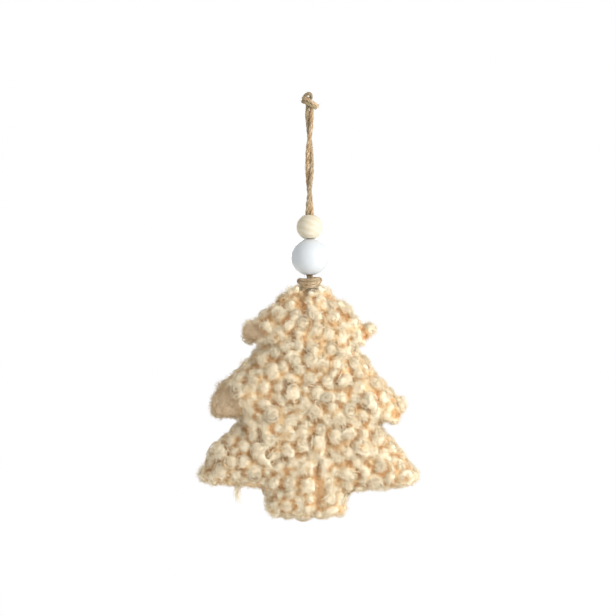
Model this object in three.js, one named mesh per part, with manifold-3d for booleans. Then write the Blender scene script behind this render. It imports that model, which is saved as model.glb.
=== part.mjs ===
// Hanging plush Christmas tree ornament: a stuffed, curly-pile fabric tree on a doubled
// jute twine, with a natural wooden bead above a white painted one.
// Millimetres, +Z up. The front of the tree faces -Y. The origin is the point that the
// ornament hangs and swings from, in the knot at the top of its twine.
import * as THREE from "three";
import { mergeVertices } from "three/addons/utils/BufferGeometryUtils.js";
import Module from "manifold-3d";

const wasm = await Module();
wasm.setup();

// Fits shared by every piece
const clearance = 0.3;
const overrun = 1;

// Twine and its knots
const twineDiameter = 2;
const topKnotTwineDiameter = 2;
const stopperKnotTwineDiameter = 2.7;
const knotGap = 0.7;
const twineTurns = 1.5;
const hangPointAboveKnotFoot = 2.2;
const knotToTwineGap = 0.85;
const freeTwineLength = 56.5;
const topKnotFootRise = 1.5;
const knotToTreeGap = 0.9;
const anchorDepth = 16;
const anchorLoopHalfWidth = 4.2;
const anchorLegRise = 0.25;

// Beads
const naturalBeadDiameter = 14;
const whiteBeadDiameter = 20;
const beadBore = 5;
const boreChamferWidth = 0.4;
const boreChamferDepth = 0.8;

// Tree outline, each reach from the centre line and each drop from the top edge
const treeHeight = 125.5;
const topHalfWidth = 10.8;
const topSlopeReach = 21.6;
const topSlopeDrop = 7.4;
const topTierReach = 37.6;
const topTierDrop = 24;
const upperNotchReach = 26.4;
const upperNotchDrop = 30;
const middleSlopeReach = 47.5;
const middleSlopeDrop = 52.5;
const middleTierReach = 55;
const middleTierDrop = 68;
const lowerNotchReach = 38;
const lowerNotchDrop = 71.5;
const bottomSlopeReach = 52;
const bottomSlopeDrop = 85.5;
const bottomTierReach = 62.2;
const bottomTierDrop = 107.5;
const trunkHalfWidth = 22.2;
const undersideDrop = 111.5;
const shoulderRound = 3;
const slopeRound = 9;
const tipRound = 8;
const bottomTipRound = 11;
const notchRound = 2.5;
const footRound = 6;

// Tree cover, filling and threads
const crownHeight = 12.9;
const crownRun = 22;
const crownTaperDrop = 42;
const coverThickness = 2.4;
const lumpSpacing = 11;
const lumpRise = 1.1;
const lumpSink = 1.2;
const seamAllowance = 3.5;
const grooveHalfWidth = 1;
const grooveDepth = 0.95;
const threadDiameter = 0.7;
const threadGap = 0.5;
const closingHalfWidth = 8.5;
const whippingTurns = 2.5;
const whippingPitch = 1.5;
const mouthDepth = 8;
const spineInset = 9;

// How finely curves are cut
const edgeStep = 7;
const cornerSteps = 3;
const notchSteps = 2;
const twineSides = 8;
const threadSides = 6;
const twineSteps = 40;
const knotPoints = 26;
const knotSteps = 60;
const anchorSteps = 24;
const closingSteps = 84;
const beadSides = 36;
const beadArcSteps = 16;
const gapSamples = 240;

// Shares of the sizes above
const roundLimitShare = 0.45;
const crownTopShare = 0.62;
const crownRingShares = [0.3, 0.62];
const topKnotOpeningShare = 0.067;
const stopperKnotOpeningShare = 0.05;
const endRiseShare = 0.9;
const endLeadShare = 0.4;
const edgeBandShare = 0.34;
const lumpKeepOffShare = 0.7;
const lumpScatterShare = 0.3;
const lumpUnevenShare = 0.3;
const anchorShares = [[0, 0], [0, 0.25], [0, 0.49], [0.2, 0.6], [0.9, 0.76], [0.85, 0.9]];
const tailShares = [[0, -1.13, 0.1], [0.9, -1.15, 0.25], [1.6, -1.04, 0.6]];
const cutEndShares = [[1.3, -0.15, 0.17], [1.63, -0.12, 0.12], [1.98, -0.06, 0.02]];

// Rings on the outside of the cover that come before its edge
const edgeRingsOutside = 2;

// Heights that follow from the stack of pieces on the twine
const twineRadius = twineDiameter / 2;
const threadRadius = threadDiameter / 2;
const boreRadius = beadBore / 2;
const seamHalfGap = clearance / 2;
const seamLine = seamAllowance / 2;
const strandOffset = (twineDiameter + clearance) / 2;
const knotFootZ = -hangPointAboveKnotFoot;
const naturalBeadHalf = beadHalfHeight(naturalBeadDiameter);
const whiteBeadHalf = beadHalfHeight(whiteBeadDiameter);
const naturalBeadZ = knotFootZ - freeTwineLength - naturalBeadHalf;
const whiteBeadZ = naturalBeadZ - naturalBeadHalf - clearance - whiteBeadHalf;
const twineFootZ = whiteBeadZ - whiteBeadHalf;
const stopperKnotHalf = stopperKnotTwineDiameter + knotGap / 2;
const stopperKnotZ = twineFootZ - clearance - stopperKnotHalf;
const treeTopZ = stopperKnotZ - stopperKnotHalf - knotToTreeGap;

// Tree edge from its top to its foot. The two edges differ a little, as hand-sewn ones
// do, so each corner has a share of its reach and of its drop for either side.
const edgeCorners = [
  { reach: topHalfWidth, drop: 0, round: shoulderRound, steps: cornerSteps,
    leftShares: [1.06, 1], rightShares: [0.94, 1] },
  { reach: topSlopeReach, drop: topSlopeDrop, round: slopeRound, steps: notchSteps,
    leftShares: [1.03, 1], rightShares: [0.97, 1] },
  { reach: topTierReach, drop: topTierDrop, round: tipRound, steps: cornerSteps,
    leftShares: [1.02, 0.98], rightShares: [0.99, 1.1] },
  { reach: upperNotchReach, drop: upperNotchDrop, round: notchRound, steps: notchSteps,
    leftShares: [1.03, 1], rightShares: [0.97, 1.04] },
  { reach: middleSlopeReach, drop: middleSlopeDrop, round: slopeRound, steps: notchSteps,
    leftShares: [1.06, 1], rightShares: [0.94, 1] },
  { reach: middleTierReach, drop: middleTierDrop, round: tipRound, steps: cornerSteps,
    leftShares: [1.03, 1], rightShares: [1.01, 1.05] },
  { reach: lowerNotchReach, drop: lowerNotchDrop, round: notchRound, steps: notchSteps,
    leftShares: [1.01, 0.99], rightShares: [0.98, 1.03] },
  { reach: bottomSlopeReach, drop: bottomSlopeDrop, round: slopeRound, steps: notchSteps,
    leftShares: [1.03, 1], rightShares: [0.97, 1] },
  { reach: bottomTierReach, drop: bottomTierDrop, round: bottomTipRound, steps: cornerSteps,
    leftShares: [1, 1], rightShares: [1, 1] },
  { reach: trunkHalfWidth, drop: undersideDrop, round: notchRound, steps: notchSteps,
    leftShares: [1.07, 1], rightShares: [0.93, 1] },
  { reach: trunkHalfWidth, drop: treeHeight, round: footRound, steps: cornerSteps,
    leftShares: [1.07, 1], rightShares: [0.93, 1] },
];

// Materials
const pile = { color: 0xe9d8bb, roughness: 1, metalness: 0 };
const filling = { color: 0xf4f2ec, roughness: 1, metalness: 0 };
const cotton = { color: 0xd8c39a, roughness: 0.8, metalness: 0 };
const jute = { color: 0xc49c68, roughness: 0.95, metalness: 0 };
const bareWood = { color: 0xe2cfa4, roughness: 0.6, metalness: 0 };
const whitePaint = { color: 0xf4f3f0, roughness: 0.35, metalness: 0 };

function pieceOf(name, geometry, look) {
  const mesh = new THREE.Mesh(geometry, new THREE.MeshStandardMaterial(look));
  mesh.name = name;
  return mesh;
}

// Closed solids joined and cut
function solidOf(geometry) {
  const bare = geometry.clone();
  bare.deleteAttribute("normal");
  bare.deleteAttribute("uv");
  const merged = mergeVertices(bare);
  const vertProperties = new Float32Array(merged.attributes.position.array);
  const triVerts = new Uint32Array(merged.index.array);
  return new wasm.Manifold(new wasm.Mesh({ numProp: 3, vertProperties, triVerts }));
}

function geometryOf(solid) {
  const mesh = solid.getMesh();
  const geometry = new THREE.BufferGeometry();
  geometry.setAttribute("position", new THREE.BufferAttribute(mesh.vertProperties, 3));
  geometry.setIndex(new THREE.BufferAttribute(mesh.triVerts, 1));
  geometry.computeVertexNormals();
  return geometry;
}

function cutFrom(geometry, cutters) {
  let solid = solidOf(geometry);
  for (const cutter of cutters) {
    solid = solid.subtract(solidOf(cutter));
  }
  return geometryOf(solid);
}

// Round tube along a smooth route
function tube(route, diameter, steps, sides) {
  const corners = [];
  for (let side = 0; side < sides; side += 1) {
    const angle = (2 * Math.PI * side) / sides;
    corners.push(new THREE.Vector2(Math.cos(angle), Math.sin(angle)).multiplyScalar(diameter / 2));
  }
  return new THREE.ExtrudeGeometry(new THREE.Shape(corners), { steps, extrudePath: route });
}

function smooth(points) {
  return new THREE.CatmullRomCurve3(points, false, "centripetal");
}

// Prints the least clear gap between two stretches of one tube over half a turn apart
function printLeastGap(name, route, diameter) {
  const points = route.getSpacedPoints(gapSamples);
  const apart = Math.ceil((Math.PI * diameter) / (route.getLength() / gapSamples));
  let least = Infinity;
  for (let i = 0; i < points.length; i += 1) {
    for (let j = i + apart; j < points.length; j += 1) {
      least = Math.min(least, points[i].distanceTo(points[j]) - diameter);
    }
  }
  console.log(`${name}: least gap to itself ${least.toFixed(2)} mm`);
}

// Overhand knot: a trefoil about its own Z axis, opened at the given turn. Its strands
// pass each other at the knot gap, at the three crossings and round the middle.
function trefoil(diameter, openTurn, openingShare) {
  const pitch = diameter + knotGap;
  const rise = pitch / 2;
  const ring = rise + pitch / Math.sqrt(3);
  const opening = 2 * Math.PI * openingShare;
  const points = [];
  for (let i = 0; i <= knotPoints; i += 1) {
    const turn = THREE.MathUtils.lerp(opening, 2 * Math.PI - opening, i / knotPoints) + openTurn;
    const reach = ring + rise * Math.cos(3 * turn);
    points.push(new THREE.Vector3(
      reach * Math.cos(2 * turn),
      reach * Math.sin(2 * turn),
      rise * Math.sin(3 * turn),
    ));
  }
  return { points, pitch, reach: ring + rise };
}

// Points given in pitches of a knot, with their heights above a base
function inPitches(shares, pitch, baseZ) {
  return shares.map(([x, y, z]) => (
    new THREE.Vector3(x, y, z).multiplyScalar(pitch).setZ(baseZ + z * pitch)
  ));
}

// Top knot: the trefoil stands upright, opened at its lowest lobe. One end meets the
// twine below it and the other crosses in front and ends, cut, at the right.
function makeTopKnot() {
  const knot = trefoil(topKnotTwineDiameter, 0, topKnotOpeningShare);
  const lobeZ = knotFootZ + topKnotFootRise;
  const middleZ = lobeZ + knot.reach;
  const upright = knot.points.map((p) => new THREE.Vector3(p.y, p.z, middleZ - p.x));
  const foot = new THREE.Vector3(0, 0, knotFootZ);
  const neck = new THREE.Vector3(0, 0, (knotFootZ + lobeZ) / 2);
  const tail = inPitches(tailShares, knot.pitch, lobeZ);
  const route = smooth([foot, neck, ...upright, ...tail]);
  printLeastGap("top_knot", route, topKnotTwineDiameter);
  const geometry = tube(route, topKnotTwineDiameter, knotSteps, twineSides);
  return { geometry, pitch: knot.pitch, lobeZ };
}

// Second cut end of the twine, which stands out of the top knot beside the first
function makeCutEnd(knot) {
  const route = smooth(inPitches(cutEndShares, knot.pitch, knot.lobeZ));
  return tube(route, topKnotTwineDiameter, cornerSteps, twineSides);
}

// Stopper knot: the trefoil lies level, opened at its rearmost inner pass, so that one
// end leaves up to the beads and the other down to the tree
function makeStopperKnot() {
  const knot = trefoil(stopperKnotTwineDiameter, Math.PI, stopperKnotOpeningShare);
  const flat = knot.points.map((p) => new THREE.Vector3(-p.y, p.x, p.z));
  const lead = knot.pitch * endLeadShare;
  const ends = [-1, -endRiseShare, endRiseShare, 1].map((share) => (
    new THREE.Vector3(0, lead, share * stopperKnotHalf)
  ));
  const route = smooth([ends[0], ends[1], ...flat, ends[2], ends[3]]);
  printLeastGap("stopper_knot", route, stopperKnotTwineDiameter);
  return tube(route, stopperKnotTwineDiameter, knotSteps, twineSides);
}

// One of the two legs of the doubled twine, laid round the other
function makeStrand(phase) {
  const topZ = knotFootZ - knotToTwineGap;
  const points = [];
  for (let i = 0; i <= twineSteps; i += 1) {
    const share = i / twineSteps;
    const angle = phase - 2 * Math.PI * twineTurns * share;
    points.push(new THREE.Vector3(
      strandOffset * Math.cos(angle),
      strandOffset * Math.sin(angle),
      THREE.MathUtils.lerp(topZ, twineFootZ, share),
    ));
  }
  const route = smooth(points);
  console.log(`one leg of the twine: ${route.getLength().toFixed(1)} mm`);
  return tube(route, twineDiameter, twineSteps, twineSides);
}

// Turned round bead with a plain bore
function beadHalfHeight(diameter) {
  return Math.sqrt((diameter / 2) ** 2 - (beadBore / 2 + boreChamferWidth) ** 2);
}

function makeBead(diameter) {
  const half = beadHalfHeight(diameter);
  const rimAngle = Math.acos(half / (diameter / 2));
  const profile = [];
  for (let i = 0; i <= beadArcSteps; i += 1) {
    const angle = THREE.MathUtils.lerp(Math.PI - rimAngle, rimAngle, i / beadArcSteps);
    profile.push(new THREE.Vector2(Math.sin(angle), Math.cos(angle)).multiplyScalar(diameter / 2));
  }
  profile.push(new THREE.Vector2(boreRadius, half - boreChamferDepth));
  profile.push(new THREE.Vector2(boreRadius, boreChamferDepth - half));
  profile.push(profile[0].clone());
  const geometry = new THREE.LatheGeometry(profile, beadSides);
  geometry.rotateX(Math.PI / 2);
  return geometry;
}

// Corners of one edge of the tree, on the seam plane: x across and y up from its top
function cornersOf(side) {
  const sign = side === "left" ? -1 : 1;
  const corners = [{ point: new THREE.Vector2(0, 0), round: 0 }];
  for (const corner of edgeCorners) {
    const [reachShare, dropShare] = corner[`${side}Shares`];
    const point = new THREE.Vector2(sign * corner.reach * reachShare, -corner.drop * dropShare);
    corners.push({ point, round: corner.round, steps: corner.steps });
  }
  corners.push({ point: new THREE.Vector2(0, -treeHeight), round: 0 });
  return corners;
}

// Point on the way from a corner towards another, always short of half of the way
function fromCorner(corner, other) {
  const length = corner.point.distanceTo(other.point);
  const share = Math.min(corner.round / length, roundLimitShare);
  return corner.point.clone().lerp(other.point, share);
}

// Points down one edge: straight runs and rounded corners, with as many as runSteps says
function edgePoints(corners, runSteps) {
  const points = [corners[0].point.clone()];
  for (let k = 1; k < corners.length; k += 1) {
    const runStart = points[points.length - 1].clone();
    const last = k === corners.length - 1;
    const runEnd = last ? corners[k].point : fromCorner(corners[k], corners[k - 1]);
    for (let i = 1; i <= runSteps[k - 1]; i += 1) {
      points.push(runStart.clone().lerp(runEnd, i / runSteps[k - 1]));
    }
    if (!last) {
      const after = fromCorner(corners[k], corners[k + 1]);
      const turn = new THREE.QuadraticBezierCurve(runEnd, corners[k].point, after);
      for (let i = 1; i <= corners[k].steps; i += 1) {
        points.push(turn.getPoint(i / corners[k].steps));
      }
    }
  }
  return points;
}

// Shares of the way down an edge at which its points lie
function lengthShares(points) {
  const sums = [0];
  for (let i = 1; i < points.length; i += 1) {
    sums.push(sums[i - 1] + points[i].distanceTo(points[i - 1]));
  }
  return sums.map((sum) => sum / sums[sums.length - 1]);
}

// Whole outline, down the left edge and up the right, with the spine point of each place
function makeOutline() {
  const left = cornersOf("left");
  const right = cornersOf("right");
  const runSteps = left.slice(1).map((corner, k) => {
    const leftRun = corner.point.distanceTo(left[k].point) - corner.round - left[k].round;
    const rightRun = right[k + 1].point.distanceTo(right[k].point) - corner.round - left[k].round;
    return Math.max(1, Math.round((leftRun + rightRun) / 2 / edgeStep));
  });
  const leftPoints = edgePoints(left, runSteps);
  const rightPoints = edgePoints(right, runSteps);
  const leftShares = lengthShares(leftPoints);
  const rightShares = lengthShares(rightPoints);
  const spine = leftPoints.map((point, i) => {
    const share = (leftShares[i] + rightShares[i]) / 2;
    return new THREE.Vector2(0, THREE.MathUtils.lerp(-spineInset, spineInset - treeHeight, share));
  });
  const count = leftPoints.length;
  const upRight = rightPoints.slice(1, count - 1).reverse();
  const points = [...leftPoints, ...upRight];
  const spines = [...spine, ...spine.slice(1, count - 1).reverse()];
  return { points, spines };
}

// Outline moved inwards, each point along the bisector of the edges beside it
function insetRing(outline, distance) {
  const { points } = outline;
  return points.map((point, k) => {
    const before = points[(k + points.length - 1) % points.length];
    const after = points[(k + 1) % points.length];
    const incoming = point.clone().sub(before).normalize();
    const outgoing = after.clone().sub(point).normalize();
    const along = incoming.add(outgoing).normalize();
    return new THREE.Vector2(point.x - along.y * distance, point.y + along.x * distance);
  });
}

function ringTowardsSpine(ring, outline, share) {
  return ring.map((point, k) => point.clone().lerp(outline.spines[k], share));
}

function distanceToOutline(point, outline) {
  const { points } = outline;
  let least = Infinity;
  for (let k = 0; k < points.length; k += 1) {
    const start = points[k];
    const run = points[(k + 1) % points.length].clone().sub(start);
    const share = THREE.MathUtils.clamp(point.clone().sub(start).dot(run) / run.lengthSq(), 0, 1);
    least = Math.min(least, point.distanceTo(run.multiplyScalar(share).add(start)));
  }
  return least;
}

// Height of a stuffed surface over the seam plane: a quarter round from the edge, lower
// near the narrow top of the tree
function crown(point, outline, height, startInset) {
  const run = crownRun - startInset;
  const inside = Math.max(distanceToOutline(point, outline) - startInset, 0);
  const share = 1 - Math.min(inside / run, 1);
  const taper = THREE.MathUtils.smoothstep(-point.y, 0, crownTaperDrop);
  return height * Math.sqrt(1 - share ** 2) * THREE.MathUtils.lerp(crownTopShare, 1, taper);
}

// Closed solid through rings of points. It ends as a line along the spine, and starts as
// one too or at a cap that its first ring bounds. Each face is split from its corner near
// the spine at one place to its corner near the edge at the next place, so that surfaces
// that lie side by side have the same facets.
function loftRings(rings, edgeRing, mirrored, cap = { points: [], triangles: [] }) {
  const capStart = rings.flat().length;
  const positions = [...rings.flat(), ...cap.points].flatMap((point) => point.toArray());
  const indices = [];
  const count = rings[0].length;
  const addTriangle = (a, b, c) => indices.push(a, mirrored ? c : b, mirrored ? b : c);
  for (let j = 0; j + 1 < rings.length; j += 1) {
    for (let k = 0; k < count; k += 1) {
      const here = j * count + k;
      const next = j * count + ((k + 1) % count);
      if (j < edgeRing) {
        addTriangle(here, here + count, next + count);
        addTriangle(here, next + count, next);
      } else {
        addTriangle(here, here + count, next);
        addTriangle(next, here + count, next + count);
      }
    }
  }
  for (const [a, b, c] of cap.triangles) {
    addTriangle(capStart + a, capStart + b, capStart + c);
  }
  const geometry = new THREE.BufferGeometry();
  geometry.setAttribute("position", new THREE.Float32BufferAttribute(positions, 3));
  geometry.setIndex(indices);
  const merged = mergeVertices(geometry);
  merged.setIndex(withoutSlivers(merged.index.array));
  merged.computeVertexNormals();
  return merged;
}

// Triangles whose corners are three different points
function withoutSlivers(indices) {
  const kept = [];
  for (let i = 0; i < indices.length; i += 3) {
    const [a, b, c] = indices.slice(i, i + 3);
    if (a !== b && b !== c && c !== a) {
      kept.push(a, b, c);
    }
  }
  return kept;
}

// Ring of the outline raised off the seam plane towards the front or the back
function raised(ring, heightOf, facing) {
  return ring.map((point) => new THREE.Vector3(point.x, facing * heightOf(point), point.y));
}

function isInside(point, ring) {
  let inside = false;
  ring.forEach((start, k) => {
    const end = ring[(k + 1) % ring.length];
    if ((start.y > point.y) !== (end.y > point.y)) {
      const share = (point.y - start.y) / (end.y - start.y);
      inside = point.x < THREE.MathUtils.lerp(start.x, end.x, share) ? !inside : inside;
    }
  });
  return inside;
}

// Even but unpatterned value between -0.5 and 0.5 for two counts and a seed
function scatter(m, n, seed) {
  const value = Math.sin(m * 127.1 + n * 311.7 + seed * 74.7) * 43758.5453;
  return value - Math.floor(value) - 0.5;
}

// Places inside a ring on a grid of triangles, each a little off its place. Every second
// one each way is the top of a lump of the curly pile, and the others lie between lumps.
function lumpPlaces(ring, seed) {
  const step = lumpSpacing / 2;
  const rowStep = step * Math.sin(Math.PI / 3);
  const rows = Math.ceil(treeHeight / rowStep);
  const places = [];
  for (let n = 0; n <= rows; n += 1) {
    for (let m = -rows; m <= rows; m += 1) {
      const x = (m + (n % 2) / 2 + scatter(m, n, seed) * lumpScatterShare) * step;
      const y = -(n + scatter(n, m, seed) * lumpScatterShare) * rowStep;
      const point = new THREE.Vector2(x, y);
      const isTop = n % 2 === 0 && (m + n / 2) % 2 === 0;
      const uneven = 1 - (scatter(m, n, seed + 1) + 0.5) * lumpUnevenShare;
      const height = (isTop ? lumpRise : -lumpSink) * uneven;
      const clear = distanceToOutline(point, { points: ring }) > step * lumpKeepOffShare;
      if (clear && isInside(point, ring)) {
        places.push({ m, n, point, height });
      }
    }
  }
  return places;
}

// Triangles of the grid of places, each from its top or left place round to the left
function gridTriangles(places) {
  const keys = new Map(places.map((place, k) => [`${place.m} ${place.n}`, k]));
  const at = (m, n) => keys.get(`${m} ${n}`);
  const triangles = [];
  for (const { m, n } of places) {
    const shift = n % 2;
    const belowLeft = at(m - 1 + shift, n + 1);
    const belowRight = at(m + shift, n + 1);
    triangles.push([at(m, n), belowLeft, belowRight], [at(m, n), belowRight, at(m + 1, n)]);
  }
  return largestRegion(withoutPinches(triangles.filter((corners) => !corners.includes(undefined))));
}

// Sides of triangles that no other triangle shares
function outerSides(triangles) {
  const sides = triangles.flatMap(([a, b, c]) => [[a, b], [b, c], [c, a]]);
  const keys = new Set(sides.map(([a, b]) => `${a} ${b}`));
  return sides.filter(([a, b]) => !keys.has(`${b} ${a}`));
}

// Triangles less those at corners where they only touch, so that their edges are plain loops
function withoutPinches(triangles) {
  const starts = new Set();
  const pinched = new Set();
  for (const [start] of outerSides(triangles)) {
    (starts.has(start) ? pinched : starts).add(start);
  }
  if (pinched.size === 0) {
    return triangles;
  }
  return withoutPinches(triangles.filter((corners) => !corners.some((corner) => pinched.has(corner))));
}

// Largest of the regions that triangles make up
function largestRegion(triangles) {
  let largest = [];
  let rest = triangles;
  while (rest.length > 0) {
    const corners = new Set(rest[0]);
    let known = 0;
    while (corners.size > known) {
      known = corners.size;
      const touching = rest.filter((triangle) => triangle.some((corner) => corners.has(corner)));
      touching.flat().forEach((corner) => corners.add(corner));
    }
    const region = rest.filter((triangle) => corners.has(triangle[0]));
    rest = rest.filter((triangle) => !corners.has(triangle[0]));
    largest = region.length > largest.length ? region : largest;
  }
  return largest;
}

// Triangles between a ring and a loop inside it, both counter-clockwise, that step along
// whichever of the two leaves the shorter side between them
function bandTriangles(ring, loop, points) {
  const gap = (a, b) => points[a].distanceTo(points[b]);
  const nearest = loop.reduce((best, corner, k) => (
    gap(ring[0], corner) < gap(ring[0], loop[best]) ? k : best
  ), 0);
  const turned = [...loop.slice(nearest), ...loop.slice(0, nearest)];
  const triangles = [];
  let i = 0;
  let j = 0;
  while (i < ring.length || j < turned.length) {
    const [here, ahead] = [ring[i % ring.length], ring[(i + 1) % ring.length]];
    const [inner, innerAhead] = [turned[j % turned.length], turned[(j + 1) % turned.length]];
    const stepRing = j === turned.length || (i < ring.length && gap(ahead, inner) < gap(here, innerAhead));
    triangles.push(stepRing ? [here, ahead, inner] : [here, innerAhead, inner]);
    i += stepRing ? 1 : 0;
    j += stepRing ? 0 : 1;
  }
  return triangles;
}

// Outside of a cover within its seam allowance: crowned, with the main lumps of its pile.
// A band of triangles joins the grid of lumps to the ring round it.
function lumpyCap(ring, outside, facing) {
  const places = lumpPlaces(ring, facing);
  const grid = gridTriangles(places).map((triangle) => triangle.map((corner) => ring.length + corner));
  const next = new Map(outerSides(grid));
  const loop = [next.keys().next().value];
  while (next.get(loop[loop.length - 1]) !== loop[0]) {
    loop.push(next.get(loop[loop.length - 1]));
  }
  const flat = [...ring, ...places.map((place) => place.point)];
  const band = bandTriangles(ring.map((point, k) => k), loop, flat);
  const heights = [...ring.map(() => 0), ...places.map((place) => place.height)];
  const points = flat.map((point, k) => (
    new THREE.Vector3(point.x, facing * (outside(point) + heights[k]), point.y)
  ));
  return { points, triangles: [...grid, ...band] };
}

// One half of the cover: its lumpy crowned outside, its flat seam allowance with the
// groove that the seam thread lies in, and its inside. The front faces -Y.
function makePanel(outline, facing) {
  const allowance = insetRing(outline, seamAllowance);
  const outside = (point) => seamHalfGap + crown(point, outline, crownHeight, 0);
  const inside = (point) => (
    seamHalfGap + crown(point, outline, crownHeight - coverThickness, seamAllowance)
  );
  const flat = () => seamHalfGap;
  const grooved = () => seamHalfGap + grooveDepth;
  const spineRing = ringTowardsSpine(allowance, outline, 1);
  const inner = crownRingShares.map((share) => ringTowardsSpine(allowance, outline, share));
  const rings = [
    raised(allowance, outside, facing),
    raised(insetRing(outline, seamAllowance * edgeBandShare), outside, facing),
    raised(outline.points, flat, facing),
    raised(insetRing(outline, seamLine - grooveHalfWidth), flat, facing),
    raised(insetRing(outline, seamLine), grooved, facing),
    raised(insetRing(outline, seamLine + grooveHalfWidth), flat, facing),
    raised(allowance, flat, facing),
    ...inner.map((ring) => raised(ring, inside, facing)),
    raised(spineRing, inside, facing),
  ];
  const cap = lumpyCap(allowance, outside, facing);
  return loftRings(rings, edgeRingsOutside, facing > 0, cap);
}

// Fibre filling: fills the cover, a clearance inside it
function makeFilling(outline) {
  const rim = insetRing(outline, seamAllowance + clearance);
  const surface = (point) => {
    const height = crown(point, outline, crownHeight - coverThickness, seamAllowance);
    return Math.max(height - clearance, 0);
  };
  const allowance = insetRing(outline, seamAllowance);
  const inner = crownRingShares.map((share) => ringTowardsSpine(allowance, outline, share));
  const spineRing = ringTowardsSpine(allowance, outline, 1);
  const rings = [
    raised(spineRing, surface, -1),
    ...[...inner].reverse().map((ring) => raised(ring, surface, -1)),
    raised(rim, () => 0, 1),
    ...inner.map((ring) => raised(ring, surface, 1)),
    raised(spineRing, surface, 1),
  ];
  return loftRings(rings, inner.length + 1, false);
}

// Seam thread: one run of machine stitches round the tree, open at the top
function makeSeamThread(outline) {
  const start = closingHalfWidth + threadDiameter + clearance;
  const line = insetRing(outline, seamLine);
  const along = line.filter((point) => Math.abs(point.x) > start || point.y < -seamAllowance);
  const points = along.map((point) => new THREE.Vector3(point.x, 0, point.y));
  points.unshift(new THREE.Vector3(-start, 0, -seamLine));
  points.push(new THREE.Vector3(start, 0, -seamLine));
  return tube(smooth(points), threadDiameter, points.length * 2, threadSides);
}

// Half sizes of the whipping round both legs of the twine, to the middle of its thread
const whippingHalfDepth = twineRadius + clearance + threadRadius;
const whippingHalfWidth = strandOffset + whippingHalfDepth;
const riserX = whippingHalfWidth + threadDiameter + threadGap;

// Closing thread: runs along the seam from the left, winds round the two legs of the
// twine inside the tree and runs on to the right
function makeClosingThread() {
  const topZ = -seamLine - whippingPitch;
  const turnPoints = Math.round(whippingTurns * threadSides * 2);
  const points = [
    new THREE.Vector3(-closingHalfWidth, 0, -seamLine),
    new THREE.Vector3((-closingHalfWidth - riserX) / 2, 0, -seamLine),
    new THREE.Vector3(-riserX, 0, (topZ - seamLine) / 2),
  ];
  for (let i = 0; i <= turnPoints; i += 1) {
    const turns = (whippingTurns * i) / turnPoints;
    const angle = Math.PI + 2 * Math.PI * turns;
    const leg = strandOffset * THREE.MathUtils.clamp(2 * Math.cos(angle), -1, 1);
    points.push(new THREE.Vector3(
      leg + whippingHalfDepth * Math.cos(angle),
      whippingHalfDepth * Math.sin(angle),
      topZ - whippingPitch * turns,
    ));
  }
  const footZ = topZ - whippingPitch * whippingTurns;
  points.push(new THREE.Vector3(riserX, 0, footZ + threadDiameter));
  points.push(new THREE.Vector3(riserX, 0, (footZ - seamLine) / 2));
  points.push(new THREE.Vector3(riserX, 0, -seamLine - threadDiameter));
  points.push(new THREE.Vector3((closingHalfWidth + riserX) / 2, 0, -seamLine));
  points.push(new THREE.Vector3(closingHalfWidth, 0, -seamLine));
  const route = smooth(points);
  printLeastGap("closing_thread", route, threadDiameter);
  return tube(route, threadDiameter, closingSteps, threadSides);
}

// Twine inside the tree: both legs go down through the top seam and join in a loop
function makeAnchorLoop() {
  const spread = anchorLoopHalfWidth - strandOffset;
  const leg = anchorShares.map(([xShare, zShare]) => (
    new THREE.Vector3(strandOffset + spread * xShare, 0, anchorLegRise - anchorDepth * zShare)
  ));
  const mirrored = leg.map((point) => new THREE.Vector3(-point.x, 0, point.z));
  const bottom = new THREE.Vector3(0, 0, anchorLegRise - anchorDepth);
  const route = smooth([...mirrored, bottom, ...leg.reverse()]);
  console.log(`twine inside the tree: ${route.getLength().toFixed(1)} mm`);
  return tube(route, twineDiameter, anchorSteps, twineSides);
}

// Boxes that the twine and its whipping need in the seam and in the filling
function topBox(halfWidth, halfDepth, depth) {
  const box = new THREE.BoxGeometry(halfWidth * 2, halfDepth * 2, depth + overrun);
  box.translate(0, 0, (overrun - depth) / 2);
  return box;
}

function makeTree() {
  const outline = makeOutline();
  const mouthHalfWidth = riserX + threadRadius + clearance;
  const mouthHalfDepth = whippingHalfDepth + threadRadius + clearance;
  const loopHalfWidth = anchorLoopHalfWidth + twineRadius + clearance;
  const loopHalfDepth = twineRadius + clearance;
  const mouth = topBox(mouthHalfWidth, mouthHalfDepth, mouthDepth);
  const loopRoom = topBox(loopHalfWidth, loopHalfDepth, anchorDepth + loopHalfDepth);
  const tree = new THREE.Group();
  tree.add(pieceOf("front_panel", cutFrom(makePanel(outline, -1), [mouth]), pile));
  tree.add(pieceOf("back_panel", cutFrom(makePanel(outline, 1), [mouth]), pile));
  tree.add(pieceOf("filling", cutFrom(makeFilling(outline), [mouth, loopRoom]), filling));
  tree.add(pieceOf("seam_thread", makeSeamThread(outline), cotton));
  tree.add(pieceOf("closing_thread", makeClosingThread(), cotton));
  tree.add(pieceOf("anchor_loop", makeAnchorLoop(), jute));
  tree.position.z = treeTopZ;
  return tree;
}

function makeOrnament() {
  const ornament = new THREE.Group();
  const topKnot = makeTopKnot();
  ornament.add(pieceOf("top_knot", topKnot.geometry, jute));
  ornament.add(pieceOf("cut_end", makeCutEnd(topKnot), jute));
  ornament.add(pieceOf("twine_left", makeStrand(Math.PI), jute));
  ornament.add(pieceOf("twine_right", makeStrand(0), jute));
  const naturalBead = pieceOf("natural_bead", makeBead(naturalBeadDiameter), bareWood);
  naturalBead.position.z = naturalBeadZ;
  ornament.add(naturalBead);
  const whiteBead = pieceOf("white_bead", makeBead(whiteBeadDiameter), whitePaint);
  whiteBead.position.z = whiteBeadZ;
  ornament.add(whiteBead);
  const stopperKnot = pieceOf("stopper_knot", makeStopperKnot(), jute);
  stopperKnot.position.z = stopperKnotZ;
  ornament.add(stopperKnot);
  ornament.add(makeTree());
  return ornament;
}

export default makeOrnament();
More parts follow.
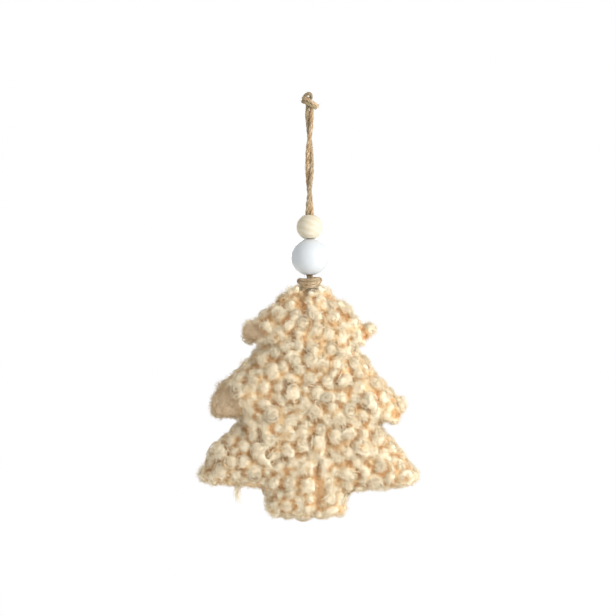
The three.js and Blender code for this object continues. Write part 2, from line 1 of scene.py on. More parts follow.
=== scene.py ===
# Looks of a hanging plush Christmas tree ornament: curly pile over a stuffed tree, jute
# twine with its knots, a bare wooden bead and a white painted one. Metres, +Z up, and the
# front of the tree faces -Y.
import itertools
import math

import bmesh
import bpy
import numpy as np
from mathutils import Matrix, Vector
from mathutils.bvhtree import BVHTree
from mathutils.kdtree import KDTree


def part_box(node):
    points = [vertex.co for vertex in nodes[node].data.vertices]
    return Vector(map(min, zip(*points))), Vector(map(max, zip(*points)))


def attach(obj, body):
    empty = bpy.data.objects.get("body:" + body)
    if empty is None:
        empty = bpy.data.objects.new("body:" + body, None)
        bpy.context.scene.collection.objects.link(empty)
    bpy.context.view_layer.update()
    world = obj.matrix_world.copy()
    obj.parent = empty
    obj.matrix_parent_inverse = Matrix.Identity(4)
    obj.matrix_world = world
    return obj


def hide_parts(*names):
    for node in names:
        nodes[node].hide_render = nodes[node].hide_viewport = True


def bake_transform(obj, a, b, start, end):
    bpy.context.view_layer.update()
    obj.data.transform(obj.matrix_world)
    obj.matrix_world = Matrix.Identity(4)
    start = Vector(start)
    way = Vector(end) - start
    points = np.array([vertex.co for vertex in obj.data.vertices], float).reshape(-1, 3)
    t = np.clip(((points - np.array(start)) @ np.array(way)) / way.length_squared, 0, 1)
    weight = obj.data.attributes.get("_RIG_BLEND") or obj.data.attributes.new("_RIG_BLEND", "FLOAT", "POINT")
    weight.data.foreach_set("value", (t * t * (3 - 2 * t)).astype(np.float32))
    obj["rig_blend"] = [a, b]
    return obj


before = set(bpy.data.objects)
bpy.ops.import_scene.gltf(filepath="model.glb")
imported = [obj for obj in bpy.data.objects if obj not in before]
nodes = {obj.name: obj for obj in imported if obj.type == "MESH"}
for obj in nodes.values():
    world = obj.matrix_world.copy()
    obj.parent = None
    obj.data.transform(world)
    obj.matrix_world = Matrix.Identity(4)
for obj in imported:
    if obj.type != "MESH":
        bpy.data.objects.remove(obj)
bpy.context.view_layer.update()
TREE_FOOT, TREE_TOP = (corner.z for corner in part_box("front_panel"))
MM = 0.001

# Photograph: its width, the pixel that the frame's origin falls on and the scale there
PHOTO_SIDE_PX = 616
ORIGIN_PX = (309.5, 106.4)
METRES_PER_PX = 0.54 * MM
CAMERA_DISTANCE = 1.2
SENSOR_WIDTH = 36

# Twine and knots, as in the CAD model
TWINE_DIAMETER = 2.0 * MM
TWINE_TURNS = 1.5
STRAND_OFFSET = 1.15 * MM
KNOT_YARN, STOPPER_YARN = 1.8 * MM, 1.65 * MM
# Each yarn's diameter, length of one turn of its plies, how far it leans to grey green and
# how many loose fibres stand off it
LEG_YARNS = ((TWINE_DIAMETER * 1.1, 12 * MM, 0.5, 150), (TWINE_DIAMETER * 1.1, 12 * MM, 0.1, 150))
TOP_KNOT_YARNS = (
    (KNOT_YARN, 8 * MM, 0.7, 50), (KNOT_YARN, 8 * MM, 0.15, 50), (KNOT_YARN * 0.9, 8 * MM, 0, 40),
)
STOPPER_YARNS = ((STOPPER_YARN, 9 * MM, 0.45, 60), (STOPPER_YARN, 9 * MM, 0.25, 60))
ANCHOR_YARN = (TWINE_DIAMETER, 10 * MM, 0.3, 0)
# Plies of a yarn, sides and fibres of each ply, and their sizes as shares of its diameter
PLIES, PLY_SIDES, PLY_FIBRES = 3, 9, 9
PLY_RADIUS, PLY_OFFSET = 0.31, 0.2
PLY_FIBRE_RADIUS, LOOSE_FIBRE_RADIUS = 0.045, 0.022
# Top knot: routes of its two strands and of the cut end, in mm from the frame's origin
TOP_KNOT_STRANDS = (
    ((-1.15, 0, -3.4), (-1.0, 0.2, -0.6), (-1.5, 0.6, 3.0), (-2.4, 0.3, 5.3), (-1.3, 0, 6.7),
     (0.3, -0.2, 6.5), (0.9, 0.4, 5.0), (-0.9, 1.7, 3.8), (-3.2, 0.9, 2.9), (-3.5, -0.7, 2.5),
     (-2.0, -2.0, 1.9), (0.4, -2.3, 0.6), (2.5, -1.8, -0.7), (3.3, -0.3, -1.0), (2.3, 1.3, 0.2),
     (0, 1.9, 1.6)),
    ((1.15, 0, -3.4), (1.0, -0.2, -0.6), (0.6, 0.4, 2.4), (-0.7, 0.7, 4.2), (-2.6, 0.6, 4.7),
     (-3.4, -0.5, 4.4), (-2.1, -2.0, 3.9), (0.3, -2.5, 2.6), (2.6, -1.9, 1.2), (3.9, -0.4, 0.5),
     (3.0, 1.2, 1.4), (1.0, 1.8, 2.4)),
    ((1.6, 0.4, 0.6), (2.8, -0.5, -0.3), (3.8, -1.0, -0.2), (4.6, -1.1, 0.8)),
)
TOP_KNOT_STEPS = (190, 190, 40)
# Stopper knot: turns from its foot to its top, how far they reach and how low their fronts
# hang, so that it is a V seen from the front
STOPPER_TURNS = 2
STOPPER_HALF_WIDTHS, STOPPER_HALF_DEPTH = (4.2 * MM, 5.4 * MM), 3.6 * MM
STOPPER_SIDES = (-0.9 * MM, 0.6 * MM)
STOPPER_DROOP = (2.4 * MM, 0.2 * MM)
# The legs run on into the top knot, and bend from its angle to the twine's between heights
LEG_OVERLAP, BLEND_START, BLEND_END = 0.5 * MM, -1.5 * MM, -7.5 * MM
# Loop inside the tree: half width, depth, and places down one side as shares of the two
ANCHOR_HALF_WIDTH, ANCHOR_DEPTH = 4.2 * MM, 16 * MM
ANCHOR_SHARES = ((0, 0), (0, 0.25), (0, 0.49), (0.2, 0.6), (0.9, 0.76), (0.85, 0.9))
LEG_STEPS, STOPPER_STEPS, ANCHOR_STEPS, SEAM_STEPS = 160, 300, 120, 2400

# Beads: points round each and along its outside, lip and bore, how much narrower the bore is
# than the flat end, and how far inside the end its straight wall starts
BEAD_SEGMENTS, BEAD_ARC_POINTS, LIP_POINTS, BORE_POINTS = 128, 110, 6, 9
BORE_INSET, BORE_LIP = 0.4 * MM, 1.2 * MM
# How deep each bead's turning marks are and how rounded the rim of its bore is
NATURAL_BEAD, WHITE_BEAD = (0.03 * MM, 0.5 * MM), (0.012 * MM, 0.7 * MM)

# Pile: nub radii in mm from large to small, each with the most nubs of that size
NUB_SIZES = ((4.8, 5.8, 70), (3.9, 4.8, 240), (3.0, 3.9, 420), (1.9, 3.0, 500))
NUB_SPREAD = 0.74
NUB_STRETCH = np.array([0.98, 1.08, 0.68])
NUB_LIFT = 0.15
# Largest radius of a nub, and how much less it is at a worn tip and under a tier
NUB_LIMIT, WORN_LOSS, UNDER_LOSS = 6 * MM, 4.9 * MM, 4.1 * MM
# Undersides above this row of pixels are under a tier, and those on the right count less
UNDER_ROW_PX, RIGHT_SHARE = 500, 0.4
NUB_TILT, NUB_TURN = 0.15, 0.45
# Neck: radius kept free for the twine, to what depth, and how far down the pile bends
NECK_RADIUS, NECK_DEPTH, NECK_BLEND = 1.2 * MM, 6 * MM, 12 * MM
CANDIDATES = 60000
RINGLET_SHARE = 0.2
RINGLET_BALLS, TUFTED_BALLS = 7, 6
BALL_LEVELS = 2
# Size and wavelength of the waves in the nubs and in the rounded tips
NUB_RIPPLE, PAD_RIPPLE = (0.45 * MM, 3 * MM), (0.3 * MM, 5 * MM)
FLEECE_VOXEL = 0.7 * MM
FLEECE_HEIGHT = 4.2 * MM
# Rounds of smoothing of the fleece, of the heights round each place, its tone with painted shade and its tint
SHAPE_ROUNDS, AROUND_ROUNDS, TONE_AND_SHADE_ROUNDS, TINT_ROUNDS = 13, 26, 5, 2
LOCK_DIAMETER = 0.9 * MM
LOCKS_PER_MM2 = 0.32
FIBRES_PER_LOCK = 7
LOCK_STEPS = 7
FIBRE_DIAMETER = 0.13 * MM
FIBRE_SIDES = 3
FREE_ENDS = 0.25
HALO_FIBRES, HALO_STEPS, HALO_RADIUS, HALO_TILT = 70000, 5, 0.06 * MM, 0.75
# Shares of the tree's height at which one piece of pile ends and the next begins
BAND_ENDS = (0.21, 0.35, 0.47, 0.58, 0.69, 0.79, 0.88)
BANDS = len(BAND_ENDS) + 1
PILE_INSET = 2.1 * MM
BLANK_VOXEL, COVER_VOXEL = 1.2 * MM, 1.7 * MM
# The simulated filling moves the cover by no more than this, and less along its outline
MOST_PUFF = 1.6 * MM
PUFF_SHARES = (0.25, 1, 0.25)
PUFF_FRAMES = 20
COVER_CLOTH = {
    "quality": 6, "mass": 0.0008, "tension_stiffness": 1.2, "compression_stiffness": 1.2,
    "shear_stiffness": 0.6, "bending_stiffness": 0.02, "use_pressure": True,
    "uniform_pressure_force": 30,
}
# Worn tips, where short smooth pile shows: centre and half sizes in pixels of the photograph
WORN_PX = (((222, 402), (18, 18)), ((253, 332), (11, 9)))
WORN_INSET = 0.5 * MM
# How far behind the seam the wear of the tips goes on
WORN_BACK = 2.5 * MM
# Partings of the pile, from and to these pixels of the photograph: one below the stopper
# knot and one above the trunk
CREASES_PX = (((303.5, 284), (300.5, 307)), ((318, 464), (318, 502)))
CREASE_HALF_WIDTH, CREASE_DEPTH = 1.3 * MM, 1.5 * MM
SEAM_DEPTH, SEAM_HALF_WIDTH = 0.7 * MM, 0.9 * MM
# Nubs round the neck of the tree: place and radius in mm
NECK_NUBS = (
    (-7.2, -2.4, -99.4, 2.9), (5.6, -2.2, -98.8, 2.8), (1.7, -3.8, -101.4, 2.9),
    (-10.8, -1.2, -100.8, 3.0), (9.4, -1.2, -99.8, 3.0), (-5.4, 3.2, -98.8, 2.8),
    (0, 4.4, -99.2, 3.0), (5.4, 3.2, -98.8, 2.8), (-3.0, 0.8, -98.9, 2.8), (2.8, 0.8, -98.9, 2.8),
)
# Rounded tips: middle in pixels of the photograph, half sizes in x, y and z in mm, the two
# worn ones first. The others carry nubs.
TIP_PADS = (
    (225, 403, 7.4, 5.6, 7.0), (252.5, 329, 5.2, 4.2, 4.8), (369, 330, 3.4, 3.4, 3.6),
    (398, 404, 4.2, 4.0, 4.4), (411, 475, 4.2, 4.4, 4.2), (206.5, 474, 4.0, 4.4, 4.6),
)
WORN_PADS = 2
NUBS_PER_PAD, PAD_ROOT_SHARE = 16, 0.6
PAD_NUB_RADII = (1.8 * MM, 2.8 * MM)
TUFT_PX = ((236, 484), (239, 498))
TUFT_FIBRES, TUFT_FIBRE_RADIUS, TUFT_FRONT = 45, 0.07 * MM, -3.5 * MM
SEAM_PITCH, STITCH_LENGTH, STITCH_DIAMETER = 3 * MM, 2.2 * MM, 0.5 * MM
SEAM_OPENING = 11 * MM

# Stage and light: the floor glows for the camera, least inside the first radius and fully
# from the second on
FLOOR_HALF_SIDE, FLOOR_DROP = 6.0, 45 * MM
GLOW_RADII, LEAST_GLOW = (0.02, 0.16), 0.88
WORLD_LIGHT = 0.6
LAMP_AIM, LAMP_SIZE = (0, 0, -0.13), 0.3
KEY_PLACE, KEY_POWER = (0.38, -0.29, 0.02), 2.2
BACK_PLACE, BACK_POWER = (-0.08, 0.49, 0.02), 1.7


def pixel(x, y):
    """X and Z in the frame of a pixel of the photograph, on the plane of the seam."""
    return (x - ORIGIN_PX[0]) * METRES_PER_PX, (ORIGIN_PX[1] - y) * METRES_PER_PX


def srgb(red, green, blue):
    """Linear colour of an sRGB colour of 0 to 255."""
    parts = [c / 255 for c in (red, green, blue)]
    return tuple(c / 12.92 if c <= 0.04045 else ((c + 0.055) / 1.055) ** 2.4 for c in parts) + (1,)


def in_scene(name, data):
    made = bpy.data.objects.new(name, data)
    bpy.context.scene.collection.objects.link(made)
    return made


# Camera

def add_camera():
    centre_x, centre_z = pixel(PHOTO_SIDE_PX / 2, PHOTO_SIDE_PX / 2)
    data = bpy.data.cameras.new("camera")
    data.sensor_width = SENSOR_WIDTH
    data.lens = SENSOR_WIDTH * CAMERA_DISTANCE / (PHOTO_SIDE_PX * METRES_PER_PX)
    data.clip_start, data.clip_end = 0.05, 20
    camera = in_scene("camera", data)
    camera.location = (centre_x, -CAMERA_DISTANCE, centre_z)
    camera.rotation_euler = (math.pi / 2, 0, 0)
    bpy.context.scene.camera = camera


# Meshes from arrays

def add_values(mesh, key, values):
    """Gives a mesh an attribute with a value at each of its points."""
    layer = mesh.attributes.new(key, "FLOAT", "POINT")
    layer.data.foreach_set("value", np.asarray(values, np.float32).ravel())


def mesh_piece(name, points, loops, sizes):
    """Smooth mesh of points and of faces given as corner indices and corner counts."""
    mesh = bpy.data.meshes.new(name)
    points, loops, sizes = (np.asarray(a) for a in (points, loops, sizes))
    mesh.vertices.add(len(points))
    mesh.vertices.foreach_set("co", points.astype(np.float32).ravel())
    mesh.loops.add(len(loops))
    mesh.loops.foreach_set("vertex_index", loops.astype(np.int32))
    mesh.polygons.add(len(sizes))
    starts = np.concatenate(([0], np.cumsum(sizes)[:-1]))
    mesh.polygons.foreach_set("loop_start", starts.astype(np.int32))
    mesh.polygons.foreach_set("loop_total", sizes.astype(np.int32))
    mesh.polygons.foreach_set("use_smooth", np.ones(len(sizes), bool))
    mesh.update(calc_edges=True)
    return in_scene(name, mesh)


class Parts:
    """Points, faces and attributes of many small forms that make one mesh."""

    def __init__(self):
        self.points, self.loops, self.sizes, self.attributes, self.count = [], [], [], {}, 0

    def add(self, points, loops, sizes, **attributes):
        """Adds forms. Each attribute is one value for all of their points or one for each."""
        self.points.append(points)
        self.loops.append(np.asarray(loops) + self.count)
        self.sizes.append(sizes)
        for key, values in attributes.items():
            self.attributes.setdefault(key, []).append(np.broadcast_to(values, len(points)))
        self.count += len(points)

    def piece(self, name, material):
        made = mesh_piece(name, *(np.concatenate(a) for a in (self.points, self.loops, self.sizes)))
        for key, values in self.attributes.items():
            add_values(made.data, key, np.concatenate(values))
        made.data.materials.append(material)
        return made


def unit(vectors):
    return vectors / np.maximum(np.linalg.norm(vectors, axis=-1, keepdims=True), 1e-12)


def around(angle, across, other):
    """Directions at angles from one direction towards another that is square to it."""
    return np.cos(angle)[..., None] * across + np.sin(angle)[..., None] * other


def frames_along(paths):
    """Two directions across each path at each of its points, turned as little as can be."""
    tangents = unit(np.gradient(paths, axis=1))
    guide = np.where(np.abs(tangents[:, :1, 2:]) < 0.9, [0.0, 0.0, 1.0], [1.0, 0.0, 0.0])[:, 0]
    across = np.empty_like(paths)
    across[:, 0] = unit(np.cross(tangents[:, 0], guide))
    for i in range(1, paths.shape[1]):
        step = across[:, i - 1]
        along = tangents[:, i]
        across[:, i] = unit(step - (step * along).sum(-1, keepdims=True) * along)
    return across, np.cross(tangents, across)


def tubes(paths, radii, sides):
    """Closed round tubes along paths [tube, step, xyz], with a radius at each step."""
    count, steps = paths.shape[:2]
    across, other = frames_along(paths)
    turn = np.arange(sides) * 2 * math.pi / sides
    ring = around(turn, across[:, :, None], other[:, :, None])
    radii = np.broadcast_to(radii, (count, steps))
    points = (paths[:, :, None] + ring * radii[:, :, None, None]).reshape(-1, 3)
    step, side = np.meshgrid(np.arange(steps - 1), np.arange(sides), indexing="ij")
    here, beside = step * sides + side, step * sides + (side + 1) % sides
    wall = np.stack([here, beside, beside + sides, here + sides], -1).reshape(-1)
    cap_start = np.arange(sides)[::-1]
    cap_end = np.arange(sides) + (steps - 1) * sides
    one = np.concatenate([wall, cap_start, cap_end])
    sizes = np.concatenate([np.full(len(wall) // 4, 4), [sides, sides]])
    loops = (one[None] + (np.arange(count) * steps * sides)[:, None]).ravel()
    return points, loops, np.tile(sizes, count)


def between(t, start, end, first, second):
    """Value at t on the line from first at start to second at end."""
    return (end - t) / (end - start) * first + (t - start) / (end - start) * second


def runs_along(route):
    """Length of a route up to each of its points."""
    return np.concatenate(([0], np.cumsum(np.linalg.norm(np.diff(route, axis=0), axis=1))))


def smooth_route(points, count):
    """Evenly spaced points on a smooth curve through points (centripetal Catmull-Rom)."""
    points = np.asarray(points, float)
    ends = np.vstack([2 * points[0] - points[1], points, 2 * points[-1] - points[-2]])
    dense = []
    for p0, p1, p2, p3 in zip(ends, ends[1:], ends[2:], ends[3:]):
        gaps = [np.linalg.norm(b - a) ** 0.5 for a, b in ((p0, p1), (p1, p2), (p2, p3))]
        t0, t1, t2, t3 = np.cumsum([0.0] + gaps)
        t = np.linspace(t1, t2, 12, endpoint=False)[:, None]
        a1, a2, a3 = between(t, t0, t1, p0, p1), between(t, t1, t2, p1, p2), between(t, t2, t3, p2, p3)
        b1, b2 = between(t, t0, t2, a1, a2), between(t, t1, t3, a2, a3)
        dense.append(between(t, t1, t2, b1, b2))
    dense = np.vstack(dense + [points[-1:]])
    runs = runs_along(dense)
    wanted = np.linspace(0, runs[-1], count)
    return np.stack([np.interp(wanted, runs, dense[:, k]) for k in range(3)], -1)


def route_length(route):
    return float(np.linalg.norm(np.diff(route, axis=0), axis=1).sum())


# Node materials

class Nodes:
    """Node tree with short calls for its nodes and for what feeds them."""

    def __init__(self, tree):
        self.tree = tree

    def feed(self, node, inputs):
        """Links or sets inputs of a node, given by number or by name with _ for a space."""
        for key, value in inputs.items():
            socket = node.inputs[key.replace("_", " ") if isinstance(key, str) else key]
            if isinstance(value, bpy.types.NodeSocket):
                self.tree.links.new(value, socket)
            else:
                socket.default_value = value
        return node

    def node(self, kind, **inputs):
        return self.feed(self.tree.nodes.new(kind), inputs)

    def math(self, how, first, second):
        made = self.tree.nodes.new("ShaderNodeMath")
        made.operation = how
        return self.feed(made, {0: first, 1: second}).outputs[0]


class Surface(Nodes):
    """Principled material with short calls for the nodes that feed it."""

    def __init__(self, name, roughness, **fixed):
        self.material = bpy.data.materials.new(name)
        self.material.use_nodes = True
        super().__init__(self.material.node_tree)
        self.shader = self.feed(self.tree.nodes["Principled BSDF"], {"Roughness": roughness, **fixed})
        self.place = self.tree.nodes.new("ShaderNodeTexCoord").outputs["Object"]

    def attribute(self, name):
        made = self.tree.nodes.new("ShaderNodeAttribute")
        made.attribute_name = name
        return made.outputs["Fac"]

    def stretched(self, scale, rotation=(0, 0, 0)):
        made = self.node("ShaderNodeMapping", Vector=self.place, Scale=scale, Rotation=rotation)
        return made.outputs["Vector"]

    def noise(self, scale, detail=3.0, place=None, distortion=0.0):
        made = self.node(
            "ShaderNodeTexNoise", Vector=place or self.place, Scale=scale,
            Detail=detail, Distortion=distortion,
        )
        return made.outputs["Fac"]

    def ramp(self, value, *stops):
        """Colours between stops, each a position and an sRGB colour."""
        made = self.node("ShaderNodeValToRGB", Fac=value)
        ramp = made.color_ramp
        while len(ramp.elements) < len(stops):
            ramp.elements.new(0.5)
        for element, (position, colour) in zip(ramp.elements, stops):
            element.position, element.color = position, srgb(*colour)
        return made.outputs["Color"]

    def mix(self, share, first, second):
        made = self.tree.nodes.new("ShaderNodeMix")
        made.data_type = "RGBA"
        return self.feed(made, {0: share, 6: first, 7: second}).outputs[2]

    def bump(self, height, distance, strength):
        made = self.node("ShaderNodeBump", Height=height, Distance=distance, Strength=strength)
        self.feed(self.shader, {"Normal": made.outputs["Normal"]})

    def colour(self, source):
        self.feed(self.shader, {"Base Color": source})

    def roughness(self, low, high, value):
        made = self.node("ShaderNodeMapRange", Value=value, To_Min=low, To_Max=high)
        self.feed(self.shader, {"Roughness": made.outputs["Result"]})


# Materials

def jute_material():
    """Coarse bast fibre: pale tan along each ply, olive on some yarns, and dark brown painted shade in its
    grooves.
    """
    made = Surface("jute", 0.92, Specular_IOR_Level=0.2, Sheen_Weight=0.25, Sheen_Roughness=0.6)
    fibres = made.noise(1300, 4, made.stretched((1, 1, 0.2)), 0.4)
    bundles = made.noise(330, 2, made.stretched((1, 1, 0.5)))
    uneven = made.math("ADD", made.math("MULTIPLY", fibres, 0.5), made.math("MULTIPLY", bundles, 0.5))
    body = made.ramp(
        uneven, (0.36, (170, 136, 96)), (0.46, (207, 174, 132)), (0.54, (230, 205, 168)),
        (0.64, (250, 236, 212)),
    )
    tinted = made.mix(made.attribute("tint"), srgb(190, 156, 114), body)
    olive = made.mix(made.attribute("olive"), tinted, srgb(152, 140, 108))
    # Painted shade: dark brown where the yarn's value is low, in the grooves between its plies.
    made.colour(made.mix(made.attribute("rise"), srgb(128, 92, 54), olive))
    made.bump(fibres, 0.25 * MM, 0.7)
    return made.material


def bare_wood_material():
    """Sanded pale wood, with wavy growth rings, fine pores and turning marks."""
    made = Surface("bare_wood", 0.6, Specular_IOR_Level=0.35)
    rings = made.node(
        "ShaderNodeTexWave", Vector=made.stretched((1, 1, 1), (0.5, 1.15, 0.3)), Scale=110,
        Distortion=6, Detail=3, Detail_Scale=1.4,
    )
    pores = made.noise(2600, 3, made.stretched((0.25, 1, 1)))
    turned = made.noise(2400, 1, made.stretched((0.02, 0.02, 1)))
    grain = made.ramp(
        rings.outputs["Fac"], (0.1, (227, 219, 198)), (0.55, (225, 215, 192)), (0.92, (219, 208, 183)),
    )
    speckled = made.mix(made.math("MULTIPLY", pores, 0.3), grain, srgb(204, 188, 156))
    lines = made.math("MULTIPLY", made.math("GREATER_THAN", turned, 0.6), 0.22)
    made.colour(made.mix(lines, speckled, srgb(204, 186, 152)))
    made.roughness(0.5, 0.72, pores)
    made.bump(made.math("ADD", pores, turned), 0.05 * MM, 0.5)
    return made.material


def white_paint_material():
    """Satin white paint on turned wood: faint rings, faint orange peel, a little dust."""
    made = Surface("white_paint", 0.36, Specular_IOR_Level=0.5, Coat_Weight=0.12, Coat_Roughness=0.25)
    peel = made.noise(900, 3)
    turned = made.noise(1900, 1, made.stretched((0.02, 0.02, 1)))
    dust = made.noise(240, 4)
    made.colour(made.mix(dust, srgb(206, 211, 214), srgb(217, 221, 223)))
    made.roughness(0.3, 0.46, peel)
    made.bump(made.math("ADD", made.math("MULTIPLY", peel, 0.3), turned), 0.04 * MM, 0.35)
    return made.material


def thread_material():
    """Tan sewing thread with a fine twist."""
    made = Surface("sewing_thread", 0.8, Specular_IOR_Level=0.2, Sheen_Weight=0.3)
    twist = made.noise(3200, 2, made.stretched((1, 1, 0.5)))
    made.colour(made.ramp(twist, (0.3, (176, 142, 96)), (0.7, (222, 198, 156))))
    made.bump(twist, 0.08 * MM, 0.8)
    return made.material


def wool_material():
    """Curly pile: cream at the tips of the curls, tan to orange at their roots, partly the tan ground fabric
    and partly painted shade in the hollows.
    """
    made = Surface(
        "curly_pile", 1.0, Specular_IOR_Level=0.1, Sheen_Weight=0.1, Sheen_Roughness=0.5,
        Sheen_Tint=srgb(255, 246, 230),
    )
    fibres = made.noise(1500, 3, distortion=0.5)
    patches = made.noise(95, 2)
    uneven = made.math("MULTIPLY", made.math("SUBTRACT", fibres, 0.5), 0.25)
    # Painted shade: low values, in the hollows between nubs and along the partings, go tan to orange, over a
    # ground that is partly tan of itself.
    body = made.ramp(
        made.math("ADD", made.attribute("rise"), uneven), (0.1, (238, 184, 120)),
        (0.36, (248, 211, 156)), (0.58, (252, 230, 190)), (0.8, (253, 243, 218)),
    )
    body = made.mix(made.attribute("worn"), body, srgb(222, 198, 166))
    tinted = made.mix(made.math("MULTIPLY", made.attribute("tint"), 0.35), body, srgb(238, 214, 176))
    made.colour(made.mix(made.math("MULTIPLY", patches, 0.15), tinted, srgb(242, 220, 186)))
    made.bump(fibres, 0.15 * MM, 0.5)
    return made.material


# Twine

def yarn(parts, path, diameter, lay, olive, rng, fuzz):
    """Twisted yarn along a path: plies laid round each other, fibres round each ply and
    loose fibres that stand off it. olive is how far its colour leans to grey green."""
    across, other = (a[0] for a in frames_along(path[None]))
    run = runs_along(path)
    for ply in range(PLIES):
        angle = 2 * math.pi * (run / lay + ply / PLIES)
        swell = 1 + 0.08 * np.sin(run / lay * 2.3 + ply * 2.1)
        centre = path + around(angle, across, other) * (diameter * PLY_OFFSET * swell)[:, None]
        radius = diameter * PLY_RADIUS * (1 + 0.09 * np.sin(run / (diameter * 1.9) + ply * 1.7))
        points, loops, sizes = tubes(centre[None], radius[None], PLY_SIDES)
        # Painted shade: points of a ply near the middle of the yarn, in its grooves, get a low value that the
        # jute material darkens to brown.
        away = np.linalg.norm(points.reshape(len(path), PLY_SIDES, 3) - path[:, None], axis=-1).ravel()
        parts.add(
            points, loops, sizes, rise=np.clip((away / diameter - 0.28) / 0.18, 0, 1),
            tint=rng.uniform(0.55, 1.0), olive=olive,
        )
        add_ply_fibres(parts, centre, radius, run, lay, diameter, olive, rng)
    if fuzz:
        add_loose_fibres(parts, path, diameter, olive, rng, fuzz)


def add_ply_fibres(parts, centre, radius, run, lay, diameter, olive, rng):
    """Thin fibres wound round a ply, the other way and in shorter turns than the ply."""
    across, other = (a[0] for a in frames_along(centre[None]))
    paths = []
    for fibre in range(PLY_FIBRES):
        angle = 2 * math.pi * (fibre / PLY_FIBRES - run / (lay * 0.62)) + rng.uniform(-0.2, 0.2)
        wander = 1 + 0.1 * np.sin(run / (diameter * 0.8) + rng.uniform(0, 6.3))
        paths.append(centre + around(angle, across, other) * (radius * wander)[:, None])
    sides = 4
    tint = np.repeat(rng.uniform(0.3, 1.0, PLY_FIBRES), len(run) * sides)
    parts.add(*tubes(np.array(paths), diameter * PLY_FIBRE_RADIUS, sides), rise=0.9, tint=tint, olive=olive)


def add_loose_fibres(parts, path, diameter, olive, rng, count):
    """Short fibres that stand off a yarn at a low angle and curl back."""
    tangents = unit(np.gradient(path, axis=0))
    at = rng.integers(1, len(path) - 1, count)
    outward = unit(np.cross(tangents[at], unit(rng.normal(size=(count, 3)))))
    along = tangents[at] * rng.choice([-1, 1], (count, 1))
    length = rng.uniform(0.7, 1.8, (count, 1)) * diameter
    t = np.linspace(0, 1, 6)[None, :, None]
    lift = rng.uniform(0.05, 0.2, (count, 1, 1)) * length[:, None]
    curl = unit(rng.normal(size=(count, 3)))[:, None] * length[:, None] * 0.12 * np.sin(t * 3.0)
    start = path[at] + outward * diameter * 0.42
    paths = start[:, None] + along[:, None] * length[:, None] * t + outward[:, None] * lift * t ** 1.4 + curl
    tint = np.repeat(rng.uniform(0.4, 1.0, count), paths.shape[1] * FIBRE_SIDES)
    parts.add(*tubes(paths, diameter * LOOSE_FIBRE_RADIUS, FIBRE_SIDES), rise=1.0, tint=tint, olive=olive)


def strand_path(phase, top, foot):
    """One leg of the doubled twine, laid round the other, from its top to its foot."""
    share = np.linspace(0, 1, LEG_STEPS)
    angle = phase - 2 * math.pi * TWINE_TURNS * share
    return np.stack([
        STRAND_OFFSET * np.cos(angle), STRAND_OFFSET * np.sin(angle),
        top + (foot - top) * share,
    ], -1)


def stopper_route(low, high):
    """Route of the stopper knot: from the tree up, round its turns and on to the beads."""
    share = np.linspace(0, 1, 40 * STOPPER_TURNS)
    turn = math.pi * (2 * STOPPER_TURNS * share - 1)
    half_width = np.interp(share, (0.2, 0.6), STOPPER_HALF_WIDTHS)
    hang = np.interp(share, (0, 1), STOPPER_DROOP) * np.clip(np.cos(turn), 0, 1) ** 1.2
    rings = np.stack([
        half_width * np.sin(turn), -STOPPER_HALF_DEPTH * np.cos(turn),
        (low + high) / 2 + np.interp(share, (0, 1), STOPPER_SIDES) - hang,
    ], -1)
    foot = [(0, 0.6 * MM, low - 0.5 * MM), (0, 1.4 * MM, low + 0.8 * MM)]
    head = [(0, 1.2 * MM, high - 0.6 * MM), (0, 0.6 * MM, high)]
    return smooth_route(np.vstack([foot, rings[2:-2], head]), STOPPER_STEPS)


def doubled(path, normal, gap):
    """Two paths side by side, half a gap or half of each of many gaps to each side of one."""
    side = unit(np.cross(np.gradient(path, axis=0), normal))
    return path + side * gap / 2, path - side * gap / 2


def yarn_piece(name, jute, rng, paths, looks):
    """Mesh of yarns along paths, each with its own look as listed at the top."""
    parts = Parts()
    for path, (diameter, lay, olive, fuzz) in zip(paths, looks):
        yarn(parts, path, diameter, lay, olive, rng, fuzz)
    piece = parts.piece(name, jute)
    return piece


def add_twine(jute):
    """The two legs of the twine, which are free cords, and the knots at their ends."""
    rng = np.random.default_rng(11)
    foot, top = (corner.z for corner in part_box("twine_left"))
    for name, phase, look in zip(("twine_left", "twine_right"), (math.pi, 0.0), LEG_YARNS):
        path = strand_path(phase, top + LEG_OVERLAP, foot)
        leg = yarn_piece(name + "_yarn", jute, rng, [path], [look])
        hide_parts(name)
        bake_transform(leg, "top_knot", "twine", start=(0, 0, BLEND_START), end=(0, 0, BLEND_END))

    routes = [smooth_route(np.array(s) * MM, steps) for s, steps in zip(TOP_KNOT_STRANDS, TOP_KNOT_STEPS)]
    knot = yarn_piece("top_knot_yarn", jute, rng, routes, TOP_KNOT_YARNS)
    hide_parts("top_knot", "cut_end")
    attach(knot, "top_knot")

    low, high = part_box("stopper_knot")
    route = stopper_route(low.z, high.z)
    front = np.clip(-route[:, 1:2] / STOPPER_HALF_DEPTH, 0, 1) ** 3
    pair = doubled(route, (0, 1, 0), STOPPER_YARN * (0.88 + 0.25 * front))
    stopper = yarn_piece("stopper_knot_yarn", jute, rng, pair, STOPPER_YARNS)
    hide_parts("stopper_knot")
    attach(stopper, "stopper_knot")

    spread = ANCHOR_HALF_WIDTH - STRAND_OFFSET
    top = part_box("anchor_loop")[1].z
    side = np.array([(STRAND_OFFSET + spread * x, 0, top - ANCHOR_DEPTH * z) for x, z in ANCHOR_SHARES])
    loop = np.vstack([side * (-1, 1, 1), (0, 0, top - ANCHOR_DEPTH), side[::-1]])
    route = smooth_route(loop, ANCHOR_STEPS)
    anchor = yarn_piece("anchor_loop_yarn", jute, rng, [route], [ANCHOR_YARN])
    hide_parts("anchor_loop")
    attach(anchor, "tree")


# Beads

